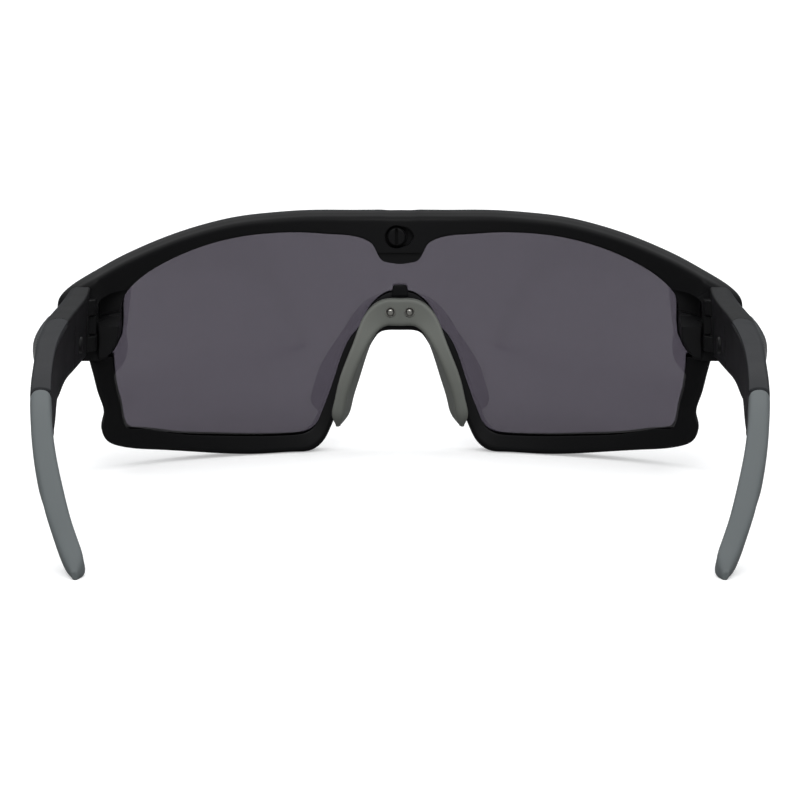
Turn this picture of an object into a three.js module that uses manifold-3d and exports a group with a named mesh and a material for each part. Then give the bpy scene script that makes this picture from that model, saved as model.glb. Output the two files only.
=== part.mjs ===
// Wraparound sport sunglasses: a shield lens held between a brow frame and a lower frame that lifts off,
// with a quarter-turn lens lock, folding temples with rubber tips, and a rubber nose saddle.
// Millimetres, +Z up. The front faces -Y, the temples run back along +Y and the wearer's left is +X.
// The glasses stand open on a table, on the lower frame's rims and the two temple tips, at z = 0.
import * as THREE from "three";
import { mergeVertices } from "three/addons/utils/BufferGeometryUtils.js";
import Module from "manifold-3d";

const wasm = await Module();
wasm.setup();

// Driving dimensions. Every y below is measured back from the lens's front face on the centreline.
const LENS_RADIUS = 80; // plan radius of the lens's front face, about the axis x = 0, y = LENS_RADIUS
const LENS_THICKNESS = 2;
const LENS_REAR = LENS_RADIUS - LENS_THICKNESS;
const DEPTH_CENTRE = 74.15; // y of the middle of the whole object, which the origin stands under
const SLACK = 0.25; // running or assembly clearance between two pieces
const SEAT = 0.12; // clearance of a piece seated for good in its neighbour
const OVERLAP = 0.2; // how far two solids run into each other where they become one piece
const BEYOND = 90; // past every face of the object, for cuts that run right out
const CLEAR = 2; // how far a cut stands out of the face that it is made in
const SIDES = { small: 16, medium: 24, large: 36 }; // flats round a bar

// The two frames' plan radii, the fall of their free side from back to front, and the cut of their corners.
const BROW = { rear: 74.5, front: 83, droop: 0.9, cut: 0.16, steps: 76 };
const LOWER = { rear: 75.6, front: 82.3, droop: 0, cut: 0.28, steps: 84 };
const ENDPIECE_REAR_Y = 35.6; // flat rear faces of the endpieces, where the temples butt
const CLAMP = { inner: 55.8, outer: 59.8, front: 26, rear: 36.2, bottom: 23.4, top: 31.2 };
const LIP = { rear: 76, halfFoot: 1.7, halfTop: 1.4, foot: 32.4, top: 34.3 };
const WALL = { halfWidth: 64, top: 55, segments: 64 };

const HINGE = { x: 62.2, y: 38, radius: 2.1, webFrontY: 33 };
const SCREW_ROOM = { bore: 0.95, cap: 0.8, headRadius: 1.5, headDepth: 0.9 };
const SCREW = { radius: 0.75, sunk: 0.1, short: 1, headRadius: 1.3, headHeight: 0.7, slotHalf: 0.2, slotDepth: 0.3 };
const KNUCKLES = [
  [25.4, 28.4],
  [32.6, 35.6],
]; // z spans of an endpiece's two knuckles
const TONGUE = [28.4 + SLACK, 32.6 - SLACK]; // z span of the temple's knuckle between them
const TONGUE_WEB = { inner: 0.7, outer: 2, length: 4 }; // beside and behind the hinge's axis
const ROOM = { clearance: 0.3, inner: 59, front: 34 }; // what the knuckles turn in
const TEMPLE_FRONT_Y = 36.2;
const TEMPLE_END_Y = 151.3;
const GRIP = { from: 71, to: 112.3, depth: 2.6 };
const TIP_START_Y = 112.5;
const SPINE = { root: 3, end: 127, across: 1.15, over: 2 }; // the arm's bar that the tip is pushed on
const LATH_STEP = 1.8; // length of a facet along the temple
const CORE = { from: 100, to: 144, halfWidth: 0.6, halfHeight: 1.2 };
const TRIM = { from: 47, to: 92, middle: 0.47, height: 6, fullness: 0.6, proud: 0.5, sunk: 0.6 };

const LOCK = { x: 0.7, z: 44.4, headRadius: 2.05, headRearY: 5.7, headFrontY: 4.1 };
const RECESS = { radius: 2.4, floorY: 3.6 };
const LOCK_SHAFT = { radius: 1, bore: 1.15, frontY: 2.1 };
const COIN_SLOT = { halfWidth: 0.3, halfLength: 1.6, depth: 1 };
const RING = { radius: 1.5, section: 0.2, lift: 0.03 };
// The notch beside the knob that shows which way is locked.
const POINTER = { root: 1, half: 2, reach: 3.9, step: 0.7 };
const CAM = { long: 4.4, short: 2.4, rearY: 1.8, frontY: 0.2, bore: 0.8, stub: 0.68 };
const KEYHOLE = { radius: 2.4, mouth: 2.8 };
const NOSE_PIN = { x: 1.95, z: 29.2, radius: 0.55, frontY: 1.5, headRadius: 0.95, headRearY: 8.25, headDepth: 0.6 };
const BAND = { stations: 7, thickShare: 0.5, thickMost: 1.3, skin: 0.15, deep: 0.35, deepShare: 0.12 };
const TENON = { inner: 58.9, outer: 60.8, rear: 77.4, front: 80.6, bottom: 20.5, top: 28 };

// Materials of the real pieces.
const plastic = (color, roughness) => new THREE.MeshStandardMaterial({ color, roughness, metalness: 0 });
const MATERIALS = {
  frameBlack: plastic(0x161717, 0.55),
  lensSmoke: new THREE.MeshStandardMaterial({
    color: 0x4c4850,
    roughness: 0.08,
    transparent: true,
    opacity: 0.85,
  }),
  gripGrey: plastic(0x37393d, 0.7),
  tipGrey: plastic(0x676c6e, 0.8),
  noseGrey: plastic(0x6d706a, 0.8),
  trimBlack: plastic(0x1d1e1f, 0.3),
  steel: new THREE.MeshStandardMaterial({ color: 0xb9bbbd, roughness: 0.3, metalness: 1 }),
  ringBlack: plastic(0x0d0d0d, 0.8),
};

// A geometry as a solid with its faces outwards, whatever hand the points were laid out in.
function solid(geometry) {
  const bare = geometry.index ? geometry.toNonIndexed() : geometry.clone();
  bare.deleteAttribute("normal");
  bare.deleteAttribute("uv");
  const merged = mergeVertices(bare, 1e-4);
  const vertProperties = merged.attributes.position.array;
  const triVerts = new Uint32Array(merged.index.array);
  const made = new wasm.Manifold(new wasm.Mesh({ numProp: 3, vertProperties, triVerts }));
  if (made.volume() > 0) return made;
  for (let i = 0; i < triVerts.length; i += 3) {
    [triVerts[i + 1], triVerts[i + 2]] = [triVerts[i + 2], triVerts[i + 1]];
  }
  return new wasm.Manifold(new wasm.Mesh({ numProp: 3, vertProperties, triVerts }));
}

function meshOf(name, made, material) {
  const { vertProperties, triVerts } = made.getMesh();
  const geometry = new THREE.BufferGeometry()
    .setAttribute("position", new THREE.BufferAttribute(vertProperties, 3))
    .setIndex(new THREE.BufferAttribute(triVerts, 1));
  geometry.computeVertexNormals();
  const mesh = new THREE.Mesh(geometry, material);
  mesh.name = name;
  return mesh;
}

const { lerp } = THREE.MathUtils;

const box = (x0, x1, y0, y1, z0, z1) =>
  solid(
    new THREE.BoxGeometry(x1 - x0, y1 - y0, z1 - z0).translate((x0 + x1) / 2, (y0 + y1) / 2, (z0 + z1) / 2),
  );

// A round bar between two heights, on an upright axis.
const upright = (x, y, radius, z0, z1, sides = SIDES.medium) =>
  solid(
    new THREE.CylinderGeometry(radius, radius, z1 - z0, sides)
      .rotateX(Math.PI / 2)
      .translate(x, y, (z0 + z1) / 2),
  );

// A round bar between two depths, on an axis along Y.
const lengthwise = (x, z, radius, y0, y1, sides = SIDES.medium) =>
  solid(new THREE.CylinderGeometry(radius, radius, y1 - y0, sides).translate(x, (y0 + y1) / 2, z));

// An outline in x and z, swept along Y from y0 to y1.
function prismAlongY(points, y0, y1) {
  const shape = new THREE.Shape(points.map(([x, z]) => new THREE.Vector2(x, z)));
  const geometry = new THREE.ExtrudeGeometry(shape, { depth: y1 - y0, bevelEnabled: false });
  return solid(geometry.rotateX(Math.PI / 2).translate(0, y1, 0));
}

// y of the point at x on the cylinder of that plan radius which shares the lens's axis.
const depthAt = (radius, x) => LENS_RADIUS - Math.sqrt(radius * radius - x * x);

// The wall between two plan radii, higher and wider than the front, to be trimmed to an outline.
function wall(inner, outer) {
  const reach = Math.asin(WALL.halfWidth / inner);
  const arc = (radius, way) =>
    Array.from({ length: WALL.segments + 1 }, (_, i) => {
      const angle = way * reach * (1 - (2 * i) / WALL.segments);
      return new THREE.Vector2(radius * Math.sin(angle), LENS_RADIUS - radius * Math.cos(angle));
    });
  const shape = new THREE.Shape([...arc(outer, 1), ...arc(inner, -1)]);
  return solid(new THREE.ExtrudeGeometry(shape, { depth: WALL.top, bevelEnabled: false }));
}

// The part of that wall inside an outline in x and z.
const wallWithin = (inner, outer, outline) =>
  wall(inner, outer).intersect(prismAlongY(outline, -BEYOND, BEYOND));

const SQUARE = [
  [0, 0],
  [1, 0],
  [1, 1],
  [0, 1],
];

// A section in the unit square, with its corners cut if the cuts aren't 0.
function cutSquare(cutX, cutY) {
  const corners = cutX === 0 ? SQUARE : [
    [cutX, 0],
    [1 - cutX, 0],
    [1, cutY],
    [1, 1 - cutY],
    [1 - cutX, 1],
    [cutX, 1],
    [0, 1 - cutY],
    [0, cutY],
  ];
  return new THREE.Shape(corners.map(([x, y]) => new THREE.Vector2(x, y)));
}

// A bar whose section sits at place(a, b, t), for a and b across the unit square and t along it.
function loft(section, steps, place) {
  const geometry = new THREE.ExtrudeGeometry(section, { depth: 1, steps, bevelEnabled: false });
  const at = geometry.attributes.position;
  for (let i = 0; i < at.count; i++) {
    at.setXYZ(i, ...place(at.getX(i), at.getY(i), at.getZ(i)));
  }
  return solid(geometry);
}

// A smooth curve through hand-placed points, read at a share of its stations.
const through = (points) => new THREE.SplineCurve(points.map(([x, y]) => new THREE.Vector2(x, y)));

// Both halves of a row of stations that starts on the centreline: [x, z] pairs mirrored in x.
const bothHalves = (half) => [...half.slice(1).reverse().map(([x, z]) => [-x, z]), ...half];

// A rim that follows the lens: each station pairs a point beside the lens with one on the free side.
// In plan it lies between two radii, with its corners cut. Its free side drops towards the front by droop.
function rim(stations, { rear, front, droop, cut, steps }) {
  const lensSide = through(bothHalves(stations.map(([x, z]) => [x, z])));
  const freeSide = through(bothHalves(stations.map(([, , x, z]) => [x, z])));
  return loft(cutSquare(cut, cut), steps, (a, b, t) => {
    const at = lensSide.getPoint(t).lerp(freeSide.getPoint(t), a);
    return [at.x, depthAt(rear + (front - rear) * b, at.x), at.y - droop * a * b];
  });
}

// An outline moved outwards by a distance, point by point.
function grown(points, distance) {
  const count = points.length;
  return points.map(([x, z], i) => {
    const [px, pz] = points[(i + count - 1) % count];
    const [nx, nz] = points[(i + 1) % count];
    const run = new THREE.Vector2(nx - px, nz - pz).normalize();
    return [x + run.y * distance, z - run.x * distance];
  });
}

// Half of the brow frame, from the centreline to the endpiece: [lens side x, z, top side x, z].
const BROW_STATIONS = [
  [0, 38.75, 0, 49.85],
  [2.4, 39, 2.5, 49.85],
  [4.1, 40.3, 4.5, 49.95],
  [5.75, 43, 6.6, 49.95],
  [8.2, 44.25, 8.9, 49.95],
  [13.3, 45, 13.6, 50.05],
  [19.5, 45.55, 19.9, 50.1],
  [25.5, 45.65, 26.2, 49.85],
  [31.5, 45.3, 32.8, 49.35],
  [37.5, 44.3, 39.2, 48.25],
  [43.4, 42.6, 45.6, 46.65],
  [49.3, 40.05, 52, 44.55],
  [52.6, 37.9, 56.6, 42.75],
  [54.5, 36, 59.6, 41.35],
  [55.6, 33.8, 62.3, 39.95],
  [55.8, 30.4, 65.5, 38.05],
  [56, 27.2, 67.9, 35.7],
  [57.7, 24.1, 68.3, 32.7],
  [59.6, 23, 68.2, 29.4],
  [62, 22.9, 67.8, 25.8],
  [64.6, 22.9, 67.3, 23.6],
];

// Half of the lower frame, from the nose arch down and round to the top of the side post.
const LOWER_STATIONS = [
  [0, 33.1, 0, 24.8],
  [2.4, 32.9, 2.2, 24.8],
  [3.8, 32.2, 3.8, 24.5],
  [5.5, 30.8, 5, 23.4],
  [7.8, 27.2, 6.4, 21],
  [8.6, 25.6, 7, 19.9],
  [10, 24, 7.7, 18.6],
  [11.2, 22.2, 8.4, 17.1],
  [13.1, 17.1, 10.6, 13],
  [15, 11.6, 12.6, 8.6],
  [16.3, 8.2, 14.3, 4.6],
  [17.6, 5.6, 15.9, 1.8],
  [19.4, 4.3, 18, 0.3],
  [22.6, 3.9, 21.2, 0],
  [30, 4.1, 29.2, 0],
  [38.6, 4.9, 40.2, 1.2],
  [46.8, 6, 49.8, 2.9],
  [53, 7.4, 56.4, 4.6],
  [55.2, 8, 58.9, 6.3],
  [55.9, 9.3, 59.75, 8.3],
  [56.2, 10.7, 59.85, 9.8],
  [56.5, 12.8, 59.4, 11.8],
  [57, 15.8, 60.2, 15.4],
  [57.4, 19.6, 61.1, 19.2],
  [57.6, 22.7, 61.9, 22.7],
];

// Half of the lens's outline, from the top centre out, down the side and back along the nose cut-out.
const LENS_HALF = [
  [3, 48.2],
  [9, 48.4],
  [16.3, 48.5],
  [24, 48.4],
  [31.5, 47.8],
  [37.6, 46.6],
  [43.4, 44.8],
  [48, 43],
  [52, 40.8],
  [55.4, 38.2],
  [57.1, 35.6],
  [57.2, 27.8],
  [58.7, 25.2],
  [58.7, 19.4],
  [57.9, 12.8],
  [56.9, 8.2],
  [56, 6.9],
  [53, 6],
  [46.6, 4.6],
  [38.6, 3.4],
  [30, 2.5],
  [22.6, 2.3],
  [19.4, 2.6],
  [16.9, 4],
  [15.3, 6.8],
  [13.9, 10.5],
  [11.9, 16.6],
  [9.4, 22.5],
  [6.9, 26.4],
  [4.7, 29.6],
  [3.4, 31.2],
];

function lensOutline() {
  const left = LENS_HALF.map(([x, z]) => [-x, z]).reverse();
  // The keyhole: down the mouth, round the hole and back up.
  const half = Math.asin(KEYHOLE.mouth / 2 / KEYHOLE.radius);
  const round = Array.from({ length: SIDES.small + 1 }, (_, i) => {
    const angle = half + (i / SIDES.small) * 2 * (Math.PI - half);
    return [LOCK.x - KEYHOLE.radius * Math.sin(angle), LOCK.z + KEYHOLE.radius * Math.cos(angle)];
  });
  const mouth = [-1, 1].map((way) => [LOCK.x + (way * KEYHOLE.mouth) / 2, LENS_HALF[0][1]]);
  return [...LENS_HALF, ...left, mouth[0], ...round, mouth[1]];
}

const lens = () => wallWithin(LENS_REAR, LENS_RADIUS, lensOutline());

// The room that the lens takes up in the frames, with clearance. The keyhole is left out.
function lensRoom() {
  const left = LENS_HALF.map(([x, z]) => [-x, z]).reverse();
  const outline = grown([...LENS_HALF, ...left], -SLACK);
  return wallWithin(LENS_REAR - SLACK, LENS_RADIUS + SLACK, outline);
}

// A pair of the same cut or boss on both sides, made on the left.
const bothSides = (made) => made.add(made.mirror([1, 0, 0]));

// The lower frame's left tenon, which plugs up into the endpiece; spare grows it into its socket.
function tenon(spare) {
  const outline = [
    [TENON.inner - spare, TENON.bottom],
    [TENON.outer + spare, TENON.bottom],
    [TENON.outer + spare, TENON.top + spare],
    [TENON.inner - spare, TENON.top + spare],
  ];
  return wallWithin(TENON.rear - spare, TENON.front + spare, outline);
}

// Lens clamps: a rearward block beside each end of the lens, over the lower frame's socket.
const lensClamp = () => box(CLAMP.inner, CLAMP.outer, CLAMP.front, CLAMP.rear, CLAMP.bottom, CLAMP.top);

// A hinge knuckle with its web to the endpiece.
const knuckle = ([bottom, top]) =>
  upright(HINGE.x, HINGE.y, HINGE.radius, bottom, top).add(
    box(HINGE.x - HINGE.radius, HINGE.x + HINGE.radius, HINGE.webFrontY, HINGE.y, bottom, top),
  );

// What the hinge screw takes out of the knuckles: its bore, and the room for its head.
function screwRoom() {
  const { bore, cap, headRadius, headDepth } = SCREW_ROOM;
  const shank = upright(HINGE.x, HINGE.y, bore, 0, KNUCKLES[1][1] - cap);
  return shank.add(upright(HINGE.x, HINGE.y, headRadius, 0, KNUCKLES[0][0] + headDepth));
}

// The lock's place in the boss: a round recess with a pointer notch, and a bore for its shaft.
function lockRoom() {
  const recess = lengthwise(LOCK.x, LOCK.z, RECESS.radius, RECESS.floorY, BEYOND, SIDES.large);
  const notch = [
    [LOCK.x - POINTER.root, LOCK.z - POINTER.half],
    [LOCK.x - POINTER.root, LOCK.z + POINTER.half],
    [LOCK.x - POINTER.reach, LOCK.z],
  ];
  const pointer = prismAlongY(notch, RECESS.floorY + POINTER.step, BEYOND);
  const bore = lengthwise(LOCK.x, LOCK.z, LOCK_SHAFT.bore, 0, BEYOND);
  return recess.add(pointer).add(bore);
}

function browFrame() {
  const bar = rim(BROW_STATIONS, BROW).intersect(box(-BEYOND, BEYOND, -BEYOND, ENDPIECE_REAR_Y, 0, BEYOND));
  const fittings = lensClamp().add(knuckle(KNUCKLES[0])).add(knuckle(KNUCKLES[1]));
  return bar
    .add(bothSides(fittings))
    .subtract(lensRoom())
    .subtract(bothSides(screwRoom().add(tenon(SLACK))))
    .subtract(lockRoom());
}

// The lip over the lens's nose cut-out.
function lip() {
  const outline = [
    [-LIP.halfFoot, LIP.foot],
    [LIP.halfFoot, LIP.foot],
    [LIP.halfTop, LIP.top],
    [-LIP.halfTop, LIP.top],
  ];
  return wallWithin(LIP.rear, LENS_REAR - SLACK, outline);
}

function lowerFrame() {
  const { x, z, radius, frontY } = NOSE_PIN;
  const pinHole = lengthwise(x, z, radius + SEAT, frontY - SEAT, BEYOND, SIDES.small);
  return rim(LOWER_STATIONS, LOWER)
    .add(lip())
    .subtract(lensRoom())
    .add(bothSides(tenon(0)))
    .subtract(bothSides(pinHole))
    .intersect(box(-BEYOND, BEYOND, -BEYOND, BEYOND, 0, BEYOND));
}

function lockKnob() {
  const { x, z, headRadius, headFrontY, headRearY } = LOCK;
  const head = lengthwise(x, z, headRadius, headFrontY, headRearY, SIDES.large);
  const shaft = lengthwise(x, z, LOCK_SHAFT.radius, LOCK_SHAFT.frontY, headFrontY + OVERLAP);
  const stub = lengthwise(x, z, CAM.stub, CAM.frontY, LOCK_SHAFT.frontY + OVERLAP, SIDES.small);
  const { halfWidth, halfLength, depth } = COIN_SLOT;
  const slot = box(x - halfWidth, x + halfWidth, headRearY - depth, BEYOND, z - halfLength, z + halfLength);
  return head.add(shaft).add(stub).subtract(slot);
}

// The cam lies across the lens's keyhole when locked, and fits through its mouth after a quarter turn.
function lockCam() {
  const disc = lengthwise(LOCK.x, LOCK.z, CAM.long / 2, CAM.frontY, CAM.rearY, SIDES.large);
  const half = CAM.short / 2;
  const flats = box(-BEYOND, BEYOND, -BEYOND, BEYOND, LOCK.z - half, LOCK.z + half);
  return disc.intersect(flats).subtract(lengthwise(LOCK.x, LOCK.z, CAM.bore, -BEYOND, BEYOND, SIDES.small));
}

// The rubber ring that lies between the knob's head and the recess's floor.
function lockRing() {
  const ring = new THREE.TorusGeometry(RING.radius, RING.section, SIDES.small / 2, SIDES.medium);
  return solid(ring.rotateX(Math.PI / 2).translate(LOCK.x, RECESS.floorY + RING.section + RING.lift, LOCK.z));
}

// The left temple's section, as curves over y: where its four corners lie in x, how far its outer face bows
// out between them, and the height of its lower and upper edge.
const TEMPLE = {
  innerTop: [
    [36.2, 61.3],
    [44, 61.3],
    [60, 62.5],
    [75, 63.8],
    [93, 64.4],
    [103, 64.3],
    [112.5, 63.8],
    [119.5, 62.9],
    [127.5, 61.8],
    [135, 60.2],
    [140, 58.9],
    [145, 57],
    [149.6, 56.2],
    [151.3, 57],
  ],
  innerBottom: [
    [36.2, 61.9],
    [44, 62.2],
    [56, 63.3],
    [69.5, 63.9],
    [81, 64.1],
    [93, 64.2],
    [106, 63.6],
    [112.5, 63.1],
    [120, 62],
    [128, 60.4],
    [132, 59.2],
    [137.5, 57.5],
    [142.5, 56.1],
    [147, 55.5],
    [151.3, 56.8],
  ],
  outerTop: [
    [36.2, 65.7],
    [45, 65.9],
    [55, 66.3],
    [64, 67],
    [75, 67.8],
    [87, 68.2],
    [98, 68],
    [112.5, 67.5],
    [119.5, 67],
    [127.5, 66],
    [135, 64.5],
    [140, 63.2],
    [145, 61.3],
    [149.6, 59.4],
    [151.3, 57.8],
  ],
  outerBottom: [
    [36.2, 67.2],
    [45, 67.9],
    [55, 68.4],
    [65, 68.6],
    [75, 68.5],
    [87, 68.2],
    [98, 67.7],
    [106, 67.3],
    [112.5, 66.9],
    [120, 66],
    [128, 64.5],
    [132, 63.4],
    [137.5, 61.8],
    [142.5, 60.4],
    [147, 59.2],
    [151.3, 57.6],
  ],
  bow: [
    [36.2, 2.2],
    [45, 2.9],
    [55, 3.1],
    [65, 2.6],
    [75, 1.8],
    [85, 1],
    [95, 0.5],
    [112.5, 0.2],
    [130, 0.1],
    [151.3, 0],
  ],
  upper: [
    [36.2, 37.9],
    [50, 37],
    [65, 36],
    [80, 34.7],
    [92, 33.3],
    [100, 31.9],
    [107, 30.2],
    [112.5, 28.2],
    [118, 25.7],
    [125, 21.3],
    [133, 15.7],
    [141, 9.6],
    [147, 4.8],
    [149.6, 2.9],
    [151.3, 1.3],
  ],
  lower: [
    [36.2, 23.7],
    [50, 24],
    [65, 24.1],
    [80, 23.9],
    [90, 23.6],
    [93, 24.4],
    [100, 23.1],
    [107, 21.2],
    [112.5, 19.2],
    [118, 16.5],
    [125, 12.1],
    [133, 7.3],
    [141, 2.6],
    [147, -0.3],
    [151.3, -0.2],
  ],
};

// Each curve's value at y, found by halving, because a spline is read by its own parameter.
const HALVINGS = 30;
const templeCurves = Object.fromEntries(Object.entries(TEMPLE).map(([name, row]) => [name, through(row)]));
const stationsRead = new Map();
function stationAt(y) {
  if (!stationsRead.has(y)) {
    const read = (curve) => {
      let [low, high] = [0, 1];
      for (let i = 0; i < HALVINGS; i++) {
        const middle = (low + high) / 2;
        if (curve.getPoint(middle).x < y) low = middle;
        else high = middle;
      }
      return curve.getPoint(low).y;
    };
    stationsRead.set(
      y,
      Object.fromEntries(Object.entries(templeCurves).map(([name, curve]) => [name, read(curve)])),
    );
  }
  return stationsRead.get(y);
}

// The point of the temple's body at y, a share a of the way out and a share b of the way up.
function templePoint(y, a, b) {
  const at = stationAt(y);
  const bow = at.bow * Math.sin(Math.PI * Math.min(Math.max(b, 0), 1));
  const inner = lerp(at.innerBottom, at.innerTop, b);
  const outer = lerp(at.outerBottom, at.outerTop, b) + bow;
  return [lerp(inner, outer, a), y, lerp(at.lower, at.upper, b)];
}

// Sections in the unit square.
const PLAIN = cutSquare(0, 0);
const SPINE_SECTION = cutSquare(0.18, 0.1);
const GRIP_SECTION = cutSquare(0.12, 0.16);
const TIP_SECTION = cutSquare(0.24, 0.16);

// A length of temple from y0 to y1, whose section is laid out by place(y, a, b).
const lath = (y0, y1, place, section) =>
  loft(section, Math.ceil((y1 - y0) / LATH_STEP), (a, b, t) => place(lerp(y0, y1, t), a, b));

// The arm's section has two more points on its bowed outer face.
const ARM_SECTION = new THREE.Shape(
  [
    [0.18, 0],
    [0.8, 0],
    [0.98, 0.1],
    [1, 0.36],
    [1, 0.64],
    [0.98, 0.9],
    [0.82, 1],
    [0.18, 1],
    [0, 0.9],
    [0, 0.1],
  ].map(([x, y]) => new THREE.Vector2(x, y)),
);

// The temple's own section, pulled in by a margin across its width and over its height.
const pulledIn = (across, over) => (y, a, b) => {
  const at = stationAt(y);
  const shareAcross = across / (at.outerTop - at.innerTop);
  const shareOver = over / (at.upper - at.lower);
  return templePoint(y, lerp(shareAcross, 1 - shareAcross, a), lerp(shareOver, 1 - shareOver, b));
};

// The strip along the temple's upper edge that the grip fills, deeper by spare in the arm's recess.
const gripStrip = (spare, above) => (y, a, b) => {
  const at = stationAt(y);
  const height = at.upper - at.lower;
  const [x, , z] = templePoint(y, a, lerp(1 - (GRIP.depth + spare) / height, 1 + above / height, b));
  return [x + above * (2 * a - 1), y, z];
};

// The side trim lies in the arm's outer face, sunk into it and standing a little proud.
const trimStrip = (spare, proud) => (y, a, b) => {
  const share = Math.min(Math.max((y - TRIM.from) / (TRIM.to - TRIM.from), 0), 1);
  const half = (TRIM.height / 4) * (1 + Math.sin(Math.PI * share) ** TRIM.fullness) + spare;
  const at = stationAt(y);
  const [x, , z] = templePoint(y, 1, TRIM.middle + ((2 * b - 1) * half) / (at.upper - at.lower));
  return [x + lerp(-TRIM.sunk - spare, proud, a), y, z];
};

const coreBar = (spare) => (y, a, b) => {
  const [x, , z] = templePoint(y, 0.5, 0.5);
  return [x + (2 * a - 1) * (CORE.halfWidth + spare), y, z + (2 * b - 1) * (CORE.halfHeight + spare)];
};

// What the grip, the trim and the tip's core take out of the arm.
function armRecesses() {
  const underGrip = lath(GRIP.from - SEAT, TIP_START_Y + SLACK, gripStrip(SEAT, CLEAR), PLAIN);
  const underTrim = lath(TRIM.from - SEAT, TRIM.to + SEAT, trimStrip(SEAT, CLEAR), PLAIN);
  return underGrip.add(underTrim).add(lath(CORE.from - SEAT, SPINE.end + CLEAR, coreBar(SEAT), PLAIN));
}

// Room for the endpiece's knuckles, open below so that the screw can be put in.
function knuckleRoom() {
  const radius = HINGE.radius + ROOM.clearance;
  const beside = (bottom, top) => box(ROOM.inner, HINGE.x + radius, ROOM.front, HINGE.y, bottom, top);
  const below = upright(HINGE.x, HINGE.y, radius, 0, TONGUE[0]);
  const above = upright(HINGE.x, HINGE.y, radius, TONGUE[1], KNUCKLES[1][1] + SLACK);
  return below.add(above).add(beside(0, KNUCKLES[1][1] + SLACK));
}

// The knuckle between the endpiece's two, with its web to the arm.
function hingeTongue() {
  const { inner, outer, length } = TONGUE_WEB;
  return upright(HINGE.x, HINGE.y, HINGE.radius - SEAT, ...TONGUE).add(
    box(HINGE.x - inner, HINGE.x + outer, HINGE.y, HINGE.y + length, ...TONGUE),
  );
}

function templeArm() {
  const spine = lath(TIP_START_Y - SPINE.root, SPINE.end, pulledIn(SPINE.across, SPINE.over), SPINE_SECTION);
  return lath(TEMPLE_FRONT_Y, TIP_START_Y, templePoint, ARM_SECTION)
    .add(spine)
    .subtract(armRecesses())
    .subtract(knuckleRoom())
    .add(hingeTongue())
    .subtract(upright(HINGE.x, HINGE.y, SCREW_ROOM.bore, 0, TONGUE[1] + CLEAR));
}

function templeTip() {
  const socket = pulledIn(SPINE.across - SEAT, SPINE.over - SEAT);
  return lath(TIP_START_Y + SEAT, TEMPLE_END_Y, templePoint, TIP_SECTION)
    .subtract(lath(TIP_START_Y - 1, SPINE.end + SEAT, socket, SPINE_SECTION))
    .subtract(lath(SPINE.end - 1, CORE.to + SEAT, coreBar(SEAT), PLAIN))
    .intersect(box(0, BEYOND, 0, 2 * BEYOND, 0, BEYOND));
}

// A slotted screw, put in from below, with its head in the lower knuckle.
function hingeScrew() {
  const { x, y } = HINGE;
  const bottom = KNUCKLES[0][0] + SCREW.sunk;
  const shank = upright(x, y, SCREW.radius, bottom + OVERLAP, KNUCKLES[1][1] - SCREW.short);
  const head = upright(x, y, SCREW.headRadius, bottom, bottom + SCREW.headHeight);
  const slot = box(x - CLEAR, x + CLEAR, y - SCREW.slotHalf, y + SCREW.slotHalf, 0, bottom + SCREW.slotDepth);
  return head.add(shank).subtract(slot);
}

// The nose saddle's middle line, left half, from the bridge to the end of the pad: [x, y, z],
// with half its thickness away from the nose and half its depth from front to back.
const SADDLE_STATIONS = [
  { at: [0, 6.9, 29.1], thick: 2.75, deep: 1.5, splay: 0 },
  { at: [2.9, 6.9, 29], thick: 2.7, deep: 1.5, splay: 0 },
  { at: [5.1, 7.2, 27.7], thick: 2.3, deep: 1.8, splay: 0.05 },
  { at: [7.3, 8.3, 24], thick: 1.6, deep: 2.7, splay: 0.14 },
  { at: [9.1, 9.3, 19.4], thick: 1.35, deep: 3.5, splay: 0.22 },
  { at: [10.5, 9.9, 15.2], thick: 1.25, deep: 3.8, splay: 0.26 },
  { at: [11.6, 10.3, 11], thick: 1.15, deep: 3.6, splay: 0.26 },
  { at: [12.3, 10.4, 7.8], thick: 0.95, deep: 2.6, splay: 0.26 },
  { at: [12.6, 10.4, 6.1], thick: 0.4, deep: 1.0, splay: 0.26 },
];

const SADDLE_STEPS = 44;
const SADDLE_CUT = 0.24;
const BAND_STEPS = 28;

// A bar along the saddle's middle line. size(station) gives half its thickness and half its depth.
function saddleBar(stations, steps, cut, size) {
  const mirrored = stations
    .slice(1)
    .reverse()
    .map((s) => ({ ...s, at: [-s.at[0], s.at[1], s.at[2]], splay: -s.splay }));
  const all = [...mirrored, ...stations];
  const line = new THREE.CatmullRomCurve3(
    all.map((s) => new THREE.Vector3(...s.at)),
    false,
    "catmullrom",
    0.5,
  );
  const sizes = through(all.map(size));
  const splays = through(all.map((s) => [s.splay, 0]));
  return loft(cutSquare(cut, cut), steps, (a, b, t) => {
    const along = line.getTangent(t);
    const half = sizes.getPoint(t);
    const away = new THREE.Vector3(along.z, 0, -along.x).normalize().negate();
    const back = new THREE.Vector3(splays.getPoint(t).x, 1, 0).normalize();
    const at = line.getPoint(t);
    at.addScaledVector(away, half.x * (2 * a - 1)).addScaledVector(back, half.y * (2 * b - 1));
    return at.toArray();
  });
}

const noseHoles = (radius, y0) =>
  bothSides(lengthwise(NOSE_PIN.x, NOSE_PIN.z, radius, y0, BEYOND, SIDES.small));

// The soft metal band inside the saddle, which holds the pads where they are bent to.
function noseBand(spare) {
  return saddleBar(SADDLE_STATIONS.slice(0, BAND.stations), BAND_STEPS, 0, (s) => [
    Math.min(s.thick * BAND.thickShare, BAND.thickMost) - BAND.skin + spare,
    BAND.deep + s.deep * BAND.deepShare + spare,
  ]);
}

const noseCore = () => noseBand(0).subtract(noseHoles(NOSE_PIN.radius + SEAT, 0));

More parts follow.
